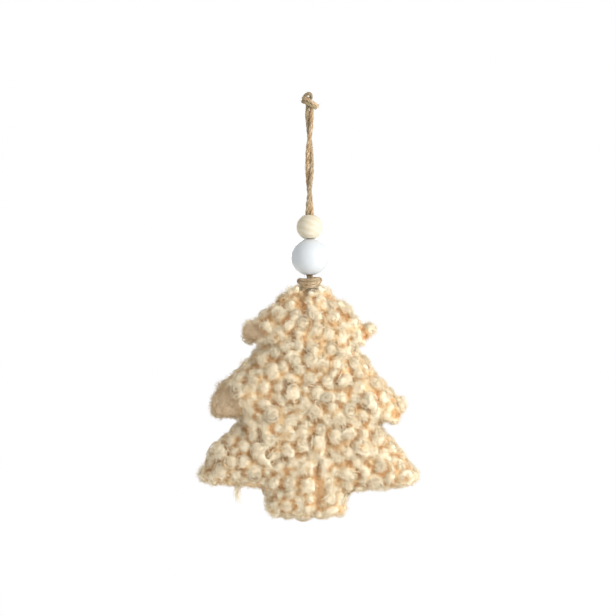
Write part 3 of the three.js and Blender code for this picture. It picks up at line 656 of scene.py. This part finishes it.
def turned_bead(name, node, slot, material, ripple, rim_round):
    """Turned bead with a chamfered bore, in place of a CAD bead. ripple is how deep the
    turning marks near its ends are, and rim_round how rounded the rim of its bore is."""
    low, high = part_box(node)
    radius, half = (high.x - low.x) / 2, (high.z - low.z) / 2
    middle = (high.z + low.z) / 2
    bore = math.sqrt(radius ** 2 - half ** 2) - BORE_INSET
    rim = math.acos(half / radius)
    arc = np.linspace(math.pi - rim - rim_round / radius, rim + rim_round / radius, BEAD_ARC_POINTS)
    near_end = np.clip((np.abs(np.cos(arc)) - 0.55) / 0.35, 0, 1)
    marks = np.sin(arc * 95) * 0.6 + np.sin(arc * 61 + 1.3) * 0.4
    reach = radius + ripple * marks * (0.25 + near_end)
    outside = np.stack([reach * np.sin(arc), reach * np.cos(arc)], -1)
    turn = np.linspace(0, math.pi / 2, LIP_POINTS)[1:]
    lip = np.stack([bore + rim_round * (1 - np.sin(turn)) + 0.1 * MM * np.cos(turn),
                    half - rim_round * (1 - np.cos(turn))], -1)
    drop = np.linspace(half - BORE_LIP, -half + BORE_LIP, BORE_POINTS)
    wall = np.stack([np.full(BORE_POINTS, bore), drop], -1)
    profile = np.vstack([outside, lip, wall, lip[::-1] * (1, -1)])
    spin = np.linspace(0, 2 * math.pi, BEAD_SEGMENTS, endpoint=False)
    ring = around(spin, np.array([1, 0, 0]), np.array([0, 1, 0]))
    points = (ring[:, None] * profile[:, :1] + (profile[:, 1:] + middle) * (0, 0, 1)).reshape(-1, 3)
    seg, row = np.meshgrid(np.arange(BEAD_SEGMENTS), np.arange(len(profile)), indexing="ij")
    here, side = seg * len(profile), ((seg + 1) % BEAD_SEGMENTS) * len(profile)
    above = (row + 1) % len(profile)
    loops = np.stack([here + row, here + above, side + above, side + row], -1).reshape(-1)
    bead = mesh_piece(name, points, loops, np.full(len(loops) // 4, 4))
    face_out(bead)
    bead.data.materials.append(material)
    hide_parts(node)
    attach(bead, node)


def face_out(piece):
    work = bmesh.new()
    work.from_mesh(piece.data)
    bmesh.ops.recalc_face_normals(work, faces=work.faces)
    work.to_mesh(piece.data)
    work.free()


# Stuffed tree

def vectors_of(items, key):
    values = np.empty(len(items) * 3, np.float32)
    items.foreach_get(key, values)
    return values.reshape(-1, 3).astype(float)


def points_of(mesh):
    return vectors_of(mesh.vertices, "co")


def normals_of(mesh):
    return vectors_of(mesh.vertex_normals, "vector")


def set_points(mesh, points):
    mesh.vertices.foreach_set("co", points.astype(np.float32).ravel())
    mesh.update()


def with_modifiers(piece):
    """Gives a piece the mesh that its modifiers make of it, and drops them."""
    depsgraph = bpy.context.evaluated_depsgraph_get()
    mesh = bpy.data.meshes.new_from_object(piece.evaluated_get(depsgraph))
    piece.modifiers.clear()
    piece.data = mesh
    mesh.polygons.foreach_set("use_smooth", np.ones(len(mesh.polygons), bool))


def modify(piece, kind, **settings):
    """Gives a piece the mesh that one modifier makes of it."""
    made = piece.modifiers.new(kind.lower(), kind)
    for key, value in settings.items():
        setattr(made, key, value)
    with_modifiers(piece)


def blank_tree():
    """Closed body of the tree without its pile: the panels and filling as one, drawn in."""
    work = bmesh.new()
    for name in ("front_panel", "back_panel", "filling"):
        work.from_mesh(nodes[name].data)
    low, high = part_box("anchor_loop")
    plug = bmesh.ops.create_cube(work, size=1)["verts"]
    size = Vector((high.x - low.x + 1.4 * MM, 6 * MM, TREE_TOP - low.z))
    middle = Vector((0, 0, (TREE_TOP + low.z) / 2))
    for vertex in plug:
        vertex.co = Vector(a * b for a, b in zip(vertex.co, size)) + middle
    mesh = bpy.data.meshes.new("tree_cover")
    work.to_mesh(mesh)
    work.free()
    piece = in_scene("tree_cover", mesh)
    modify(piece, "REMESH", mode="VOXEL", voxel_size=BLANK_VOXEL)
    points = points_of(piece.data)
    inset = PILE_INSET + (WORN_INSET - PILE_INSET) * worn_share(points)
    set_points(piece.data, points - normals_of(piece.data) * inset[:, None])
    modify(piece, "REMESH", mode="VOXEL", voxel_size=COVER_VOXEL)
    modify(piece, "SMOOTH", factor=0.5, iterations=1)
    return piece


def inflate(piece):
    """Cloth simulation: the cover is blown up by its filling for a short time, which
    stretches it between the notches and puckers it at the seam."""
    start = points_of(piece.data)
    cloth = piece.modifiers.new("cloth", "CLOTH")
    for key, value in COVER_CLOTH.items():
        setattr(cloth.settings, key, value)
    cloth.settings.effector_weights.gravity = 0
    cloth.collision_settings.use_collision = False
    scene = bpy.context.scene
    for number in range(1, PUFF_FRAMES + 1):
        scene.frame_set(number)
    with_modifiers(piece)
    scene.frame_set(1)
    moved = (points_of(piece.data) - start) * PUFF_SHARES
    reach = np.linalg.norm(moved, axis=1, keepdims=True)
    set_points(piece.data, start + moved * np.minimum(1, MOST_PUFF / np.maximum(reach, 1e-9)))


def make_cover():
    """Smooth cover of the tree, which the pile grows from."""
    cover = blank_tree()
    inflate(cover)
    modify(cover, "SUBSURF", levels=2, render_levels=2)
    points, normals = points_of(cover.data), normals_of(cover.data)
    draw_in = CREASE_DEPTH * crease_share(points) + seam_depth(points)
    set_points(cover.data, points - normals * draw_in[:, None])
    return cover


def crease_distance(points):
    """How far points on the front are from the nearest parting."""
    least = np.full(len(points), 1.0)
    flat = points[:, [0, 2]]
    for ends in CREASES_PX:
        start, end = (np.array(pixel(*p)) for p in ends)
        run = end - start
        share = np.clip((flat - start) @ run / (run @ run), 0, 1)
        least = np.minimum(least, np.linalg.norm(flat - start - share[:, None] * run, axis=1))
    return least + (points[:, 1] > 0)


def crease_share(points):
    """1 along a parting, 0 away from it."""
    return np.exp(-(crease_distance(points) / CREASE_HALF_WIDTH) ** 2)


def seam_depth(points):
    return SEAM_DEPTH * np.exp(-(points[:, 1] / SEAM_HALF_WIDTH) ** 2)


def worn_share(points):
    """1 inside a worn tip, 0 away from it."""
    share = np.zeros(len(points))
    for centre_px, half_px in WORN_PX:
        x, z = pixel(*centre_px)
        half_x, half_z = (half * METRES_PER_PX for half in half_px)
        away = np.hypot((points[:, 0] - x) / half_x, (points[:, 2] - z) / half_z)
        share = np.maximum(share, np.clip((1.25 - away) / 0.35, 0, 1))
    return share


def worn_front(points):
    """Worn share that stops a little behind the seam."""
    return worn_share(points) * (points[:, 1] < WORN_BACK)


# Pile

def surface_samples(piece, count, rng):
    """Random even places on a piece and the smooth normals there."""
    mesh = piece.data
    mesh.calc_loop_triangles()
    corners = np.empty(len(mesh.loop_triangles) * 3, np.int32)
    mesh.loop_triangles.foreach_get("vertices", corners)
    corners = corners.reshape(-1, 3)
    points, normals = points_of(mesh), normals_of(mesh)
    a, b, c = (points[corners[:, k]] for k in range(3))
    area = np.linalg.norm(np.cross(b - a, c - a), axis=1)
    pick = rng.choice(len(corners), count, p=area / area.sum())
    u, v = rng.random(count), rng.random(count)
    u, v = np.where(u + v > 1, 1 - u, u), np.where(u + v > 1, 1 - v, v)
    weights = np.stack([1 - u - v, u, v], -1)[:, :, None]
    return (points[corners[pick]] * weights).sum(1), unit((normals[corners[pick]] * weights).sum(1))


def crowded(place, radius, key, grid):
    """Whether a nub would stand too close to one in its cell of the grid or in one beside it."""
    for x, y, z in itertools.product((-1, 0, 1), repeat=3):
        for other, other_radius in grid.get((key[0] + x, key[1] + y, key[2] + z), ()):
            gap = other - place
            if gap @ gap < (NUB_SPREAD * (radius + other_radius)) ** 2:
                return True
    return False


def place_nubs(places, normals, rng):
    """Places for nubs, the large ones first, each clear of the others by its own size."""
    cell = 2 * NUB_SIZES[0][1] * MM
    grid, chosen = {}, []
    under = np.clip((-normals[:, 2] - 0.45) / 0.3, 0, 1) * (places[:, 2] > pixel(0, UNDER_ROW_PX)[1])
    under *= np.where(places[:, 0] > 0, RIGHT_SHARE, 1.0)
    limit = NUB_LIMIT - WORN_LOSS * worn_front(places) - UNDER_LOSS * under
    crease = crease_distance(places)
    axis = np.hypot(places[:, 0], places[:, 1]) + (places[:, 2] < TREE_TOP - NECK_DEPTH)
    for smallest, largest, most in NUB_SIZES:
        found = 0
        for index in rng.permutation(len(places)):
            if found >= most:
                break
            radius = rng.uniform(smallest, largest) * MM
            if radius > limit[index] or crease[index] < CREASE_HALF_WIDTH + radius * 0.7:
                continue
            if axis[index] < NECK_RADIUS + radius * 0.6:
                continue
            key = tuple((places[index] // cell).astype(int))
            if not crowded(places[index], radius, key, grid):
                grid.setdefault(key, []).append((places[index], radius))
                chosen.append((index, radius))
                found += 1
    return np.array([i for i, _ in chosen]), np.array([r for _, r in chosen])


def nubs_on_pads(rng):
    """Roots and directions of the nubs on the rounded tips."""
    pads = np.array(TIP_PADS[WORN_PADS:])
    middle = np.array([(*pixel(x, y), 0) for x, y in pads[:, :2]])[:, [0, 2, 1]]
    ways = unit(rng.normal(size=(len(pads), NUBS_PER_PAD, 3)))
    roots = middle[:, None] + ways * pads[:, None, 2:] * MM * PAD_ROOT_SHARE
    return roots.reshape(-1, 3), ways.reshape(-1, 3)


def ball():
    """Points and faces of a round unit form that nubs are made from."""
    work = bmesh.new()
    bmesh.ops.create_icosphere(work, subdivisions=BALL_LEVELS, radius=1)
    points = np.array([v.co for v in work.verts])
    faces = np.array([[v.index for v in f.verts] for f in work.faces])
    work.free()
    return points, faces


def nub_balls(radii, rng):
    """Balls that nubs are made of, in the frames of their nubs and shares of their radii:
    the nub of each ball, its centre and its size. Some nubs are ringlets round a hollow."""
    nubs, centres, sizes = [], [], []
    for nub in range(len(radii)):
        if rng.random() < RINGLET_SHARE:
            turn = np.arange(RINGLET_BALLS) / RINGLET_BALLS * 2 * math.pi + rng.uniform(0, 6.3)
            heights = 0.12 * rng.normal(size=RINGLET_BALLS)
            centre = np.stack([0.6 * np.cos(turn), 0.6 * np.sin(turn), heights], -1)
            centre = np.vstack([centre, (0, 0, -0.3)])
            size = np.append(rng.uniform(0.36, 0.48, RINGLET_BALLS), 0.5)
        else:
            centre = unit(rng.normal(size=(TUFTED_BALLS, 3)) * (1, 1, 0.5))
            centre = centre * rng.uniform(0.35, 0.6, (TUFTED_BALLS, 1))
            centre[0] = 0
            size = np.append(0.68, rng.uniform(0.34, 0.56, TUFTED_BALLS - 1))
        nubs += [nub] * len(size)
        centres.append(centre)
        sizes.append(size)
    return np.array(nubs), np.vstack(centres), np.concatenate(sizes)


def fleece_shape(cover, roots, frames, radii, rng):
    """The cover, the nubs on it and the rounded tips as one closed soft surface."""
    nubs, centres, sizes = nub_balls(radii, rng)
    unit_points, unit_faces = ball()
    local = (centres[:, None] + unit_points[None] * sizes[:, None, None]) * NUB_STRETCH
    local = (local + (0, 0, NUB_LIFT)) * radii[nubs][:, None, None]
    points = roots[nubs][:, None] + np.einsum("nvi,nij->nvj", local, frames[nubs])
    points = ripple(points, *NUB_RIPPLE, rng).reshape(-1, 3)
    for x, y, *half in TIP_PADS:
        middle = pixel(x, y)
        pad = unit_points * np.array(half) * MM + (middle[0], 0, middle[1])
        points = np.vstack([points, ripple(pad, *PAD_RIPPLE, rng)])
    count = len(points) // len(unit_points)
    faces = unit_faces[None] + (np.arange(count) * len(unit_points))[:, None, None]
    fleece = mesh_piece("tree_fleece", points, faces.ravel(), np.full(faces.size // 3, 3))
    work = bmesh.new()
    work.from_mesh(fleece.data)
    work.from_mesh(cover.data)
    work.to_mesh(fleece.data)
    work.free()
    modify(fleece, "REMESH", mode="VOXEL", voxel_size=FLEECE_VOXEL)
    modify(fleece, "SMOOTH", factor=0.5, iterations=SHAPE_ROUNDS)
    return fleece


def add_fleece(cover, roots, frames, radii, tints, material, rng):
    """Soft surface of the pile, in place of the panels and filling. Its value is high on the nubs and low
    between them and along the partings: painted shade in the hollows, partly over the tan ground."""
    fleece = fleece_shape(cover, roots, frames, radii, rng)
    points = points_of(fleece.data)
    near = BVHTree.FromObject(cover, bpy.context.evaluated_depsgraph_get())
    height = np.array([near.find_nearest(Vector(p))[3] for p in points])
    nearest = nearest_of(roots + frames[:, 2] * (NUB_LIFT * radii)[:, None], points)
    around_it = spread_out(fleece.data, height, AROUND_ROUNDS)
    # Painted shade: the value falls where the fleece lies below the heights round it, in the hollows between
    # nubs, and along the partings.
    step = np.clip((height - around_it) / (1.5 * MM), -1, 0.2)
    rise = 0.15 * height / FLEECE_HEIGHT + 0.6 + 1.5 * step - 0.2 * crease_share(points)
    rise = spread_out(fleece.data, rise, TONE_AND_SHADE_ROUNDS)
    add_values(fleece.data, "rise", np.clip(rise, 0, 1))
    add_values(fleece.data, "tint", spread_out(fleece.data, tints[nearest], TINT_ROUNDS))
    add_values(fleece.data, "worn", worn_front(points))
    fleece.data.materials.append(material)
    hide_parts("front_panel", "back_panel", "filling")
    follow_neck(fleece)
    return fleece


def spread_out(mesh, values, times):
    """Values at the points of a mesh, each averaged with its neighbours a number of times."""
    ends = np.empty(len(mesh.edges) * 2, np.int32)
    mesh.edges.foreach_get("vertices", ends)
    first, second = ends.reshape(-1, 2).T
    count = len(values)
    beside = np.bincount(first, minlength=count) + np.bincount(second, minlength=count)
    for _ in range(times):
        total = np.bincount(first, values[second], count) + np.bincount(second, values[first], count)
        values = (values + total) / (1 + beside)
    return values


def nearest_of(points, places):
    """For each place, the number of the point that is nearest to it."""
    tree = KDTree(len(points))
    for number, point in enumerate(points):
        tree.insert(Vector(point), number)
    tree.balance()
    return np.array([tree.find(Vector(p))[1] for p in places])


def tone_and_shade_near(fleece, places):
    """Tone and painted shade value of the fleece at its points that are nearest to some places."""
    values = np.empty(len(fleece.data.vertices), np.float32)
    fleece.data.attributes["rise"].data.foreach_get("value", values)
    return values[nearest_of(points_of(fleece.data), places)]


def hanging_frames(normals, rng):
    """Frames [n, 3, 3] on a surface: across, down it and off it, each a little turned."""
    lean = unit(normals + NUB_TILT * rng.normal(size=normals.shape))
    down = np.array([0, 0, -1.0]) + NUB_TURN * rng.normal(size=normals.shape)
    down = unit(down - (down * lean).sum(-1, keepdims=True) * lean)
    return np.stack([np.cross(down, lean), down, lean], 1)


def lock_fibres(roots, frames, radii, rng):
    """Fibres in curled locks that wind over each nub: paths [fibre, step, xyz], widths and
    the nub and tint of each fibre. Some nubs are ringlets, whose locks share one axis."""
    of_nub = np.maximum(2, LOCKS_PER_MM2 * (radii / MM) ** 2).astype(int)
    nub = np.repeat(np.arange(len(radii)), of_nub)
    locks = len(nub)
    ringlet = (rng.random(len(radii)) < RINGLET_SHARE)[nub][:, None]
    loose_axis = unit(rng.normal(size=(locks, 3)) + (0, 0, 0.5))
    axis = np.where(ringlet, unit(0.2 * rng.normal(size=(locks, 3)) + (0, 0, 1)), loose_axis)
    wide, narrow = rng.uniform(0.45, 1.35, (locks, 1)), rng.uniform(0.35, 1.05, (locks, 1))
    opening = np.where(ringlet, wide, narrow)
    first = rng.uniform(0, 2 * math.pi, (locks, 1))
    turns = rng.uniform(0.5, 0.95, (locks, 1)) * rng.choice([-1, 1], (locks, 1))
    shell = radii[nub][:, None] * rng.uniform(0.9, 1.1, (locks, 1))
    tint = rng.random(locks)

    lock = np.repeat(np.arange(locks), FIBRES_PER_LOCK)
    count = len(lock)
    t = np.linspace(0, 1, LOCK_STEPS)[None, :]
    spread = LOCK_DIAMETER / 4 * rng.normal(size=(2, count, 1))
    free = (rng.random((count, 1)) < FREE_ENDS) * rng.uniform(0.3, 1.3, (count, 1)) * MM
    away = shell[lock] * (1 - 0.2 * (2 * t - 1) ** 6) + spread[0] * (1 - t * 0.6)
    away = away + free * np.clip(t * 2 - 1, 0, 1) ** 2
    angle = opening[lock] * (1 - 0.35 * t) + spread[1] / shell[lock]
    turn = first[lock] + rng.uniform(-0.35, 0.35, (count, 1)) + 2 * math.pi * turns[lock] * t
    east = unit(np.cross(axis, (0.31, 0.94, 0.12)))
    north = np.cross(axis, east)
    sideways = around(turn, east[lock][:, None], north[lock][:, None])
    way = around(angle, axis[lock][:, None], sideways)
    local = way * away[..., None] * NUB_STRETCH + np.array([0, 0, NUB_LIFT]) * radii[nub[lock]][:, None, None]
    paths = roots[nub[lock]][:, None] + np.einsum("nsi,nij->nsj", local, frames[nub[lock]])
    width = FIBRE_DIAMETER / 2 * rng.uniform(0.65, 1.3, (count, 1)) * (1 - 0.55 * (2 * t - 1) ** 4)
    return paths, width, nub[lock], tint[lock]


def ripple(points, size, wavelength, rng):
    """Points moved by up to about size along smooth random waves."""
    moved = np.zeros_like(points)
    for _ in range(7):
        wave = unit(rng.normal(size=3)) * 2 * math.pi / (wavelength * rng.uniform(0.7, 1.6))
        height = np.sin(points @ wave + rng.uniform(0, 6.3))[..., None]
        moved += height * unit(rng.normal(size=3)) * size * 0.5
    return points + moved


def add_pile(cover, material):
    """Curly pile all over the cover: soft nubs, locks of fibres on them and a halo."""
    rng = np.random.default_rng(5)
    places, normals = surface_samples(cover, CANDIDATES, rng)
    index, radii = place_nubs(places, normals, rng)
    neck = np.array(NECK_NUBS) * MM
    pad_roots, pad_ways = nubs_on_pads(rng)
    roots = np.vstack([places[index], neck[:, :3], pad_roots])
    neck_ways = unit(neck[:, :3] - (0, 0, neck[0, 2] - NECK_DEPTH))
    ways = np.vstack([normals[index], neck_ways, pad_ways])
    radii = np.concatenate([radii, neck[:, 3], rng.uniform(*PAD_NUB_RADII, len(pad_roots))])
    frames = hanging_frames(ways, rng)
    tints = rng.random(len(radii))
    fleece = add_fleece(cover, roots, frames, radii, tints, material, rng)

    lock_paths, lock_width, nub, lock_tint = lock_fibres(roots, frames, radii, rng)
    # Locks and halo fibres take the painted shade of the fleece beneath them, so they darken over its
    # hollows.
    lock_tone_and_shade = tone_and_shade_near(fleece, lock_paths.reshape(-1, 3)).reshape(lock_width.shape)
    halo_at, halo_ways = surface_samples(fleece, HALO_FIBRES, rng)
    halo_paths = halo(halo_at, halo_ways, rng)
    halo_tone_and_shade = tone_and_shade_near(fleece, halo_at) + rng.uniform(-0.1, 0.25, len(halo_at))
    lock_bands, halo_bands = pile_bands(roots)[nub], pile_bands(halo_at)
    for band in range(lock_bands.max() + 1):
        parts = Parts()
        mine = np.flatnonzero(lock_bands == band)
        tint = np.repeat(tints[nub[mine]] * 0.5 + lock_tint[mine] * 0.5, LOCK_STEPS * FIBRE_SIDES)
        parts.add(*tubes(lock_paths[mine], lock_width[mine], FIBRE_SIDES), tint=tint, worn=0,
                  rise=np.repeat(lock_tone_and_shade[mine].ravel(), FIBRE_SIDES) + 0.05)

        mine = np.flatnonzero(halo_bands == band)
        each = HALO_STEPS * FIBRE_SIDES
        worn = worn_share(halo_at[mine]) * rng.uniform(0.4, 1, len(mine))
        parts.add(*tubes(halo_paths[mine], HALO_RADIUS, FIBRE_SIDES), rise=np.repeat(halo_tone_and_shade[mine], each),
                  tint=np.repeat(rng.random(len(mine)), each), worn=np.repeat(worn, each))

        piece = parts.piece("curly_pile_%02d" % (band + 1), material)
        if band % BANDS == 0:
            follow_neck(piece)
        else:
            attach(piece, "tree")


def follow_neck(piece):
    """Pile round the neck stays with the knot and bends towards the tree when that tilts."""
    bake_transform(piece, "stopper_knot", "tree", start=(0, 0, TREE_TOP), end=(0, 0, TREE_TOP - NECK_BLEND))


def pile_bands(points):
    """Number of the piece that each place belongs to: bands down the front, then the back."""
    drop = np.clip((TREE_TOP - points[:, 2]) / (TREE_TOP - TREE_FOOT), 0, 0.9999)
    band = np.searchsorted(BAND_ENDS, drop, side="right")
    return band + (points[:, 1] > 0) * BANDS


def halo(places, normals, rng):
    """Thin curled fibres that stand off the nubs and blur their edges."""
    count = len(places)
    lean = unit(normals + HALO_TILT * rng.normal(size=normals.shape))
    across = unit(np.cross(lean, rng.normal(size=normals.shape)))
    frames = np.stack([across, np.cross(lean, across), lean], 1)
    t = np.linspace(0, 1, HALO_STEPS)[None, :]
    length = rng.uniform(0.7, 2.6, (count, 1)) * MM
    curl = rng.uniform(0.2, 0.6, (count, 1)) * MM
    turn = rng.uniform(0, 6.3, (count, 1)) + rng.uniform(2.5, 6, (count, 1)) * t
    local = np.stack([
        curl * (np.cos(turn) - np.cos(turn[:, :1])), curl * (np.sin(turn) - np.sin(turn[:, :1])),
        length * np.sin(t * 2.2) - 0.3 * MM,
    ], -1)
    return places[:, None] + np.einsum("nsi,nij->nsj", local, frames)


def add_tuft(material):
    """Loose lock that hangs below the bottom tier at the left."""
    rng = np.random.default_rng(3)
    start, end = (np.array((x, TUFT_FRONT, z)) for x, z in (pixel(*p) for p in TUFT_PX))
    each = (TUFT_FIBRES, 1, 3)
    t = np.linspace(0, 1, 9)[None, :, None]
    sway = np.sin(t * 5 + rng.uniform(0, 1.5, (TUFT_FIBRES, 1, 1))) * (0.6 * MM, 0.4 * MM, 0)
    ends = end + rng.normal(size=each) * (1.2 * MM, 0.8 * MM, 1.5 * MM)
    paths = start + rng.normal(size=each) * (1.4 * MM, 0.8 * MM, 0.5 * MM)
    parts = Parts()
    parts.add(*tubes(paths + (ends - paths) * t + sway, TUFT_FIBRE_RADIUS, 4), rise=0.95, tint=0.3, worn=0)
    tuft = parts.piece("curly_pile_tuft", material)
    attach(tuft, "tree")


def seam_line(cover):
    """Points round the rim of the cover, from its top and back to it."""
    work = bmesh.new()
    work.from_mesh(cover.data)
    every = work.verts[:] + work.edges[:] + work.faces[:]
    cut = bmesh.ops.bisect_plane(work, geom=every, plane_co=(0, 0, 0), plane_no=(0, 1, 0))["geom_cut"]
    beside = {}
    for edge in (e for e in cut if isinstance(e, bmesh.types.BMEdge)):
        one, other = edge.verts
        beside.setdefault(one, []).append(other)
        beside.setdefault(other, []).append(one)
    first = last = max(beside, key=lambda v: v.co.z)
    line, here = [last.co.copy()], beside[last][0]
    while here is not first:
        line.append(here.co.copy())
        last, here = here, next((v for v in beside[here] if v is not last), first)
    work.free()
    return smooth_route(np.array(line + line[:1]), SEAM_STEPS)


def add_seam(cover, material):
    """Seam between the panels: short stitches in a row round the rim of the cover."""
    line = seam_line(cover)
    run = route_length(line)
    starts = np.arange(SEAM_OPENING, run - SEAM_OPENING, SEAM_PITCH)
    t = np.linspace(0, 1, 7)
    at = (starts[:, None] + STITCH_LENGTH * t) / run * (len(line) - 1)
    paths = np.stack([np.interp(at, np.arange(len(line)), line[:, k]) for k in range(3)], -1)
    outward = unit(np.cross(np.gradient(paths, axis=1), (0, 1, 0)))
    outward *= np.sign((outward * (paths - line.mean(0))).sum((1, 2), keepdims=True))
    paths = paths + outward * (np.sin(math.pi * t) * 0.4 * MM - 0.1 * MM)[:, None]
    parts = Parts()
    parts.add(*tubes(paths, STITCH_DIAMETER / 2, 8))
    stitches = parts.piece("seam_stitches", material)
    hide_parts("seam_thread")
    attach(stitches, "tree")


# Stage and light

def add_area(name, place, power):
    data = bpy.data.lights.new(name, "AREA")
    data.shape, data.size, data.energy = "DISK", LAMP_SIZE, power
    lamp = in_scene(name, data)
    lamp.location = place
    lamp.rotation_euler = (Vector(LAMP_AIM) - Vector(place)).to_track_quat("-Z", "Y").to_euler()


def floor_material():
    """Pale floor that also glows for the camera, so that its far parts show as plain white."""
    made = Surface("floor", 0.9, Base_Color=srgb(250, 250, 250))
    away = made.tree.nodes.new("ShaderNodeVectorMath")
    away.operation = "LENGTH"
    made.feed(away, {0: made.place})
    share = made.node(
        "ShaderNodeMapRange", Value=away.outputs["Value"], From_Min=GLOW_RADII[0],
        From_Max=GLOW_RADII[1], To_Min=LEAST_GLOW,
    )
    seen = made.node("ShaderNodeLightPath").outputs["Is Camera Ray"]
    glow = made.node("ShaderNodeEmission").outputs[0]
    mixed = made.node("ShaderNodeMixShader", Fac=made.math("MULTIPLY", share.outputs["Result"], seen))
    made.feed(mixed, {1: made.shader.outputs[0], 2: glow})
    made.feed(made.tree.nodes["Material Output"], {"Surface": mixed.outputs[0]})
    return made.material


def add_stage():
    """Pale floor below the hanging tree, plain white surroundings and soft lamps."""
    side = FLOOR_HALF_SIDE
    corners = [(-side, -side, 0), (side, -side, 0), (side, side, 0), (-side, side, 0)]
    floor = mesh_piece("floor", corners, [0, 1, 2, 3], [4])
    floor.location.z = TREE_FOOT - FLOOR_DROP
    floor.data.materials.append(floor_material())

    world = bpy.data.worlds.new("world")
    bpy.context.scene.world = world
    world.use_nodes = True
    made = Nodes(world.node_tree)
    path = made.node("ShaderNodeLightPath").outputs
    either = made.math("MAXIMUM", path["Is Camera Ray"], path["Is Glossy Ray"])
    strength = made.node("ShaderNodeMapRange", Value=either, To_Min=WORLD_LIGHT, To_Max=1.0)
    background = {"Color": (1, 1, 1, 1), "Strength": strength.outputs["Result"]}
    made.feed(world.node_tree.nodes["Background"], background)

    add_area("key", KEY_PLACE, KEY_POWER)
    add_area("back", BACK_PLACE, BACK_POWER)


def main():
    bpy.context.scene.view_settings.view_transform = "Standard"
    add_camera()
    add_twine(jute_material())
    wood, paint = bare_wood_material(), white_paint_material()
    turned_bead("natural_bead_turned", "natural_bead", "bare_wood", wood, *NATURAL_BEAD)
    turned_bead("white_bead_turned", "white_bead", "white_paint", paint, *WHITE_BEAD)
    cover = make_cover()
    wool, thread = wool_material(), thread_material()
    add_pile(cover, wool)
    add_tuft(wool)
    add_seam(cover, thread)
    bpy.data.objects.remove(cover)
    closing = nodes["closing_thread"]
    closing.data.materials.clear()
    closing.data.materials.append(thread)
    add_stage()


main()
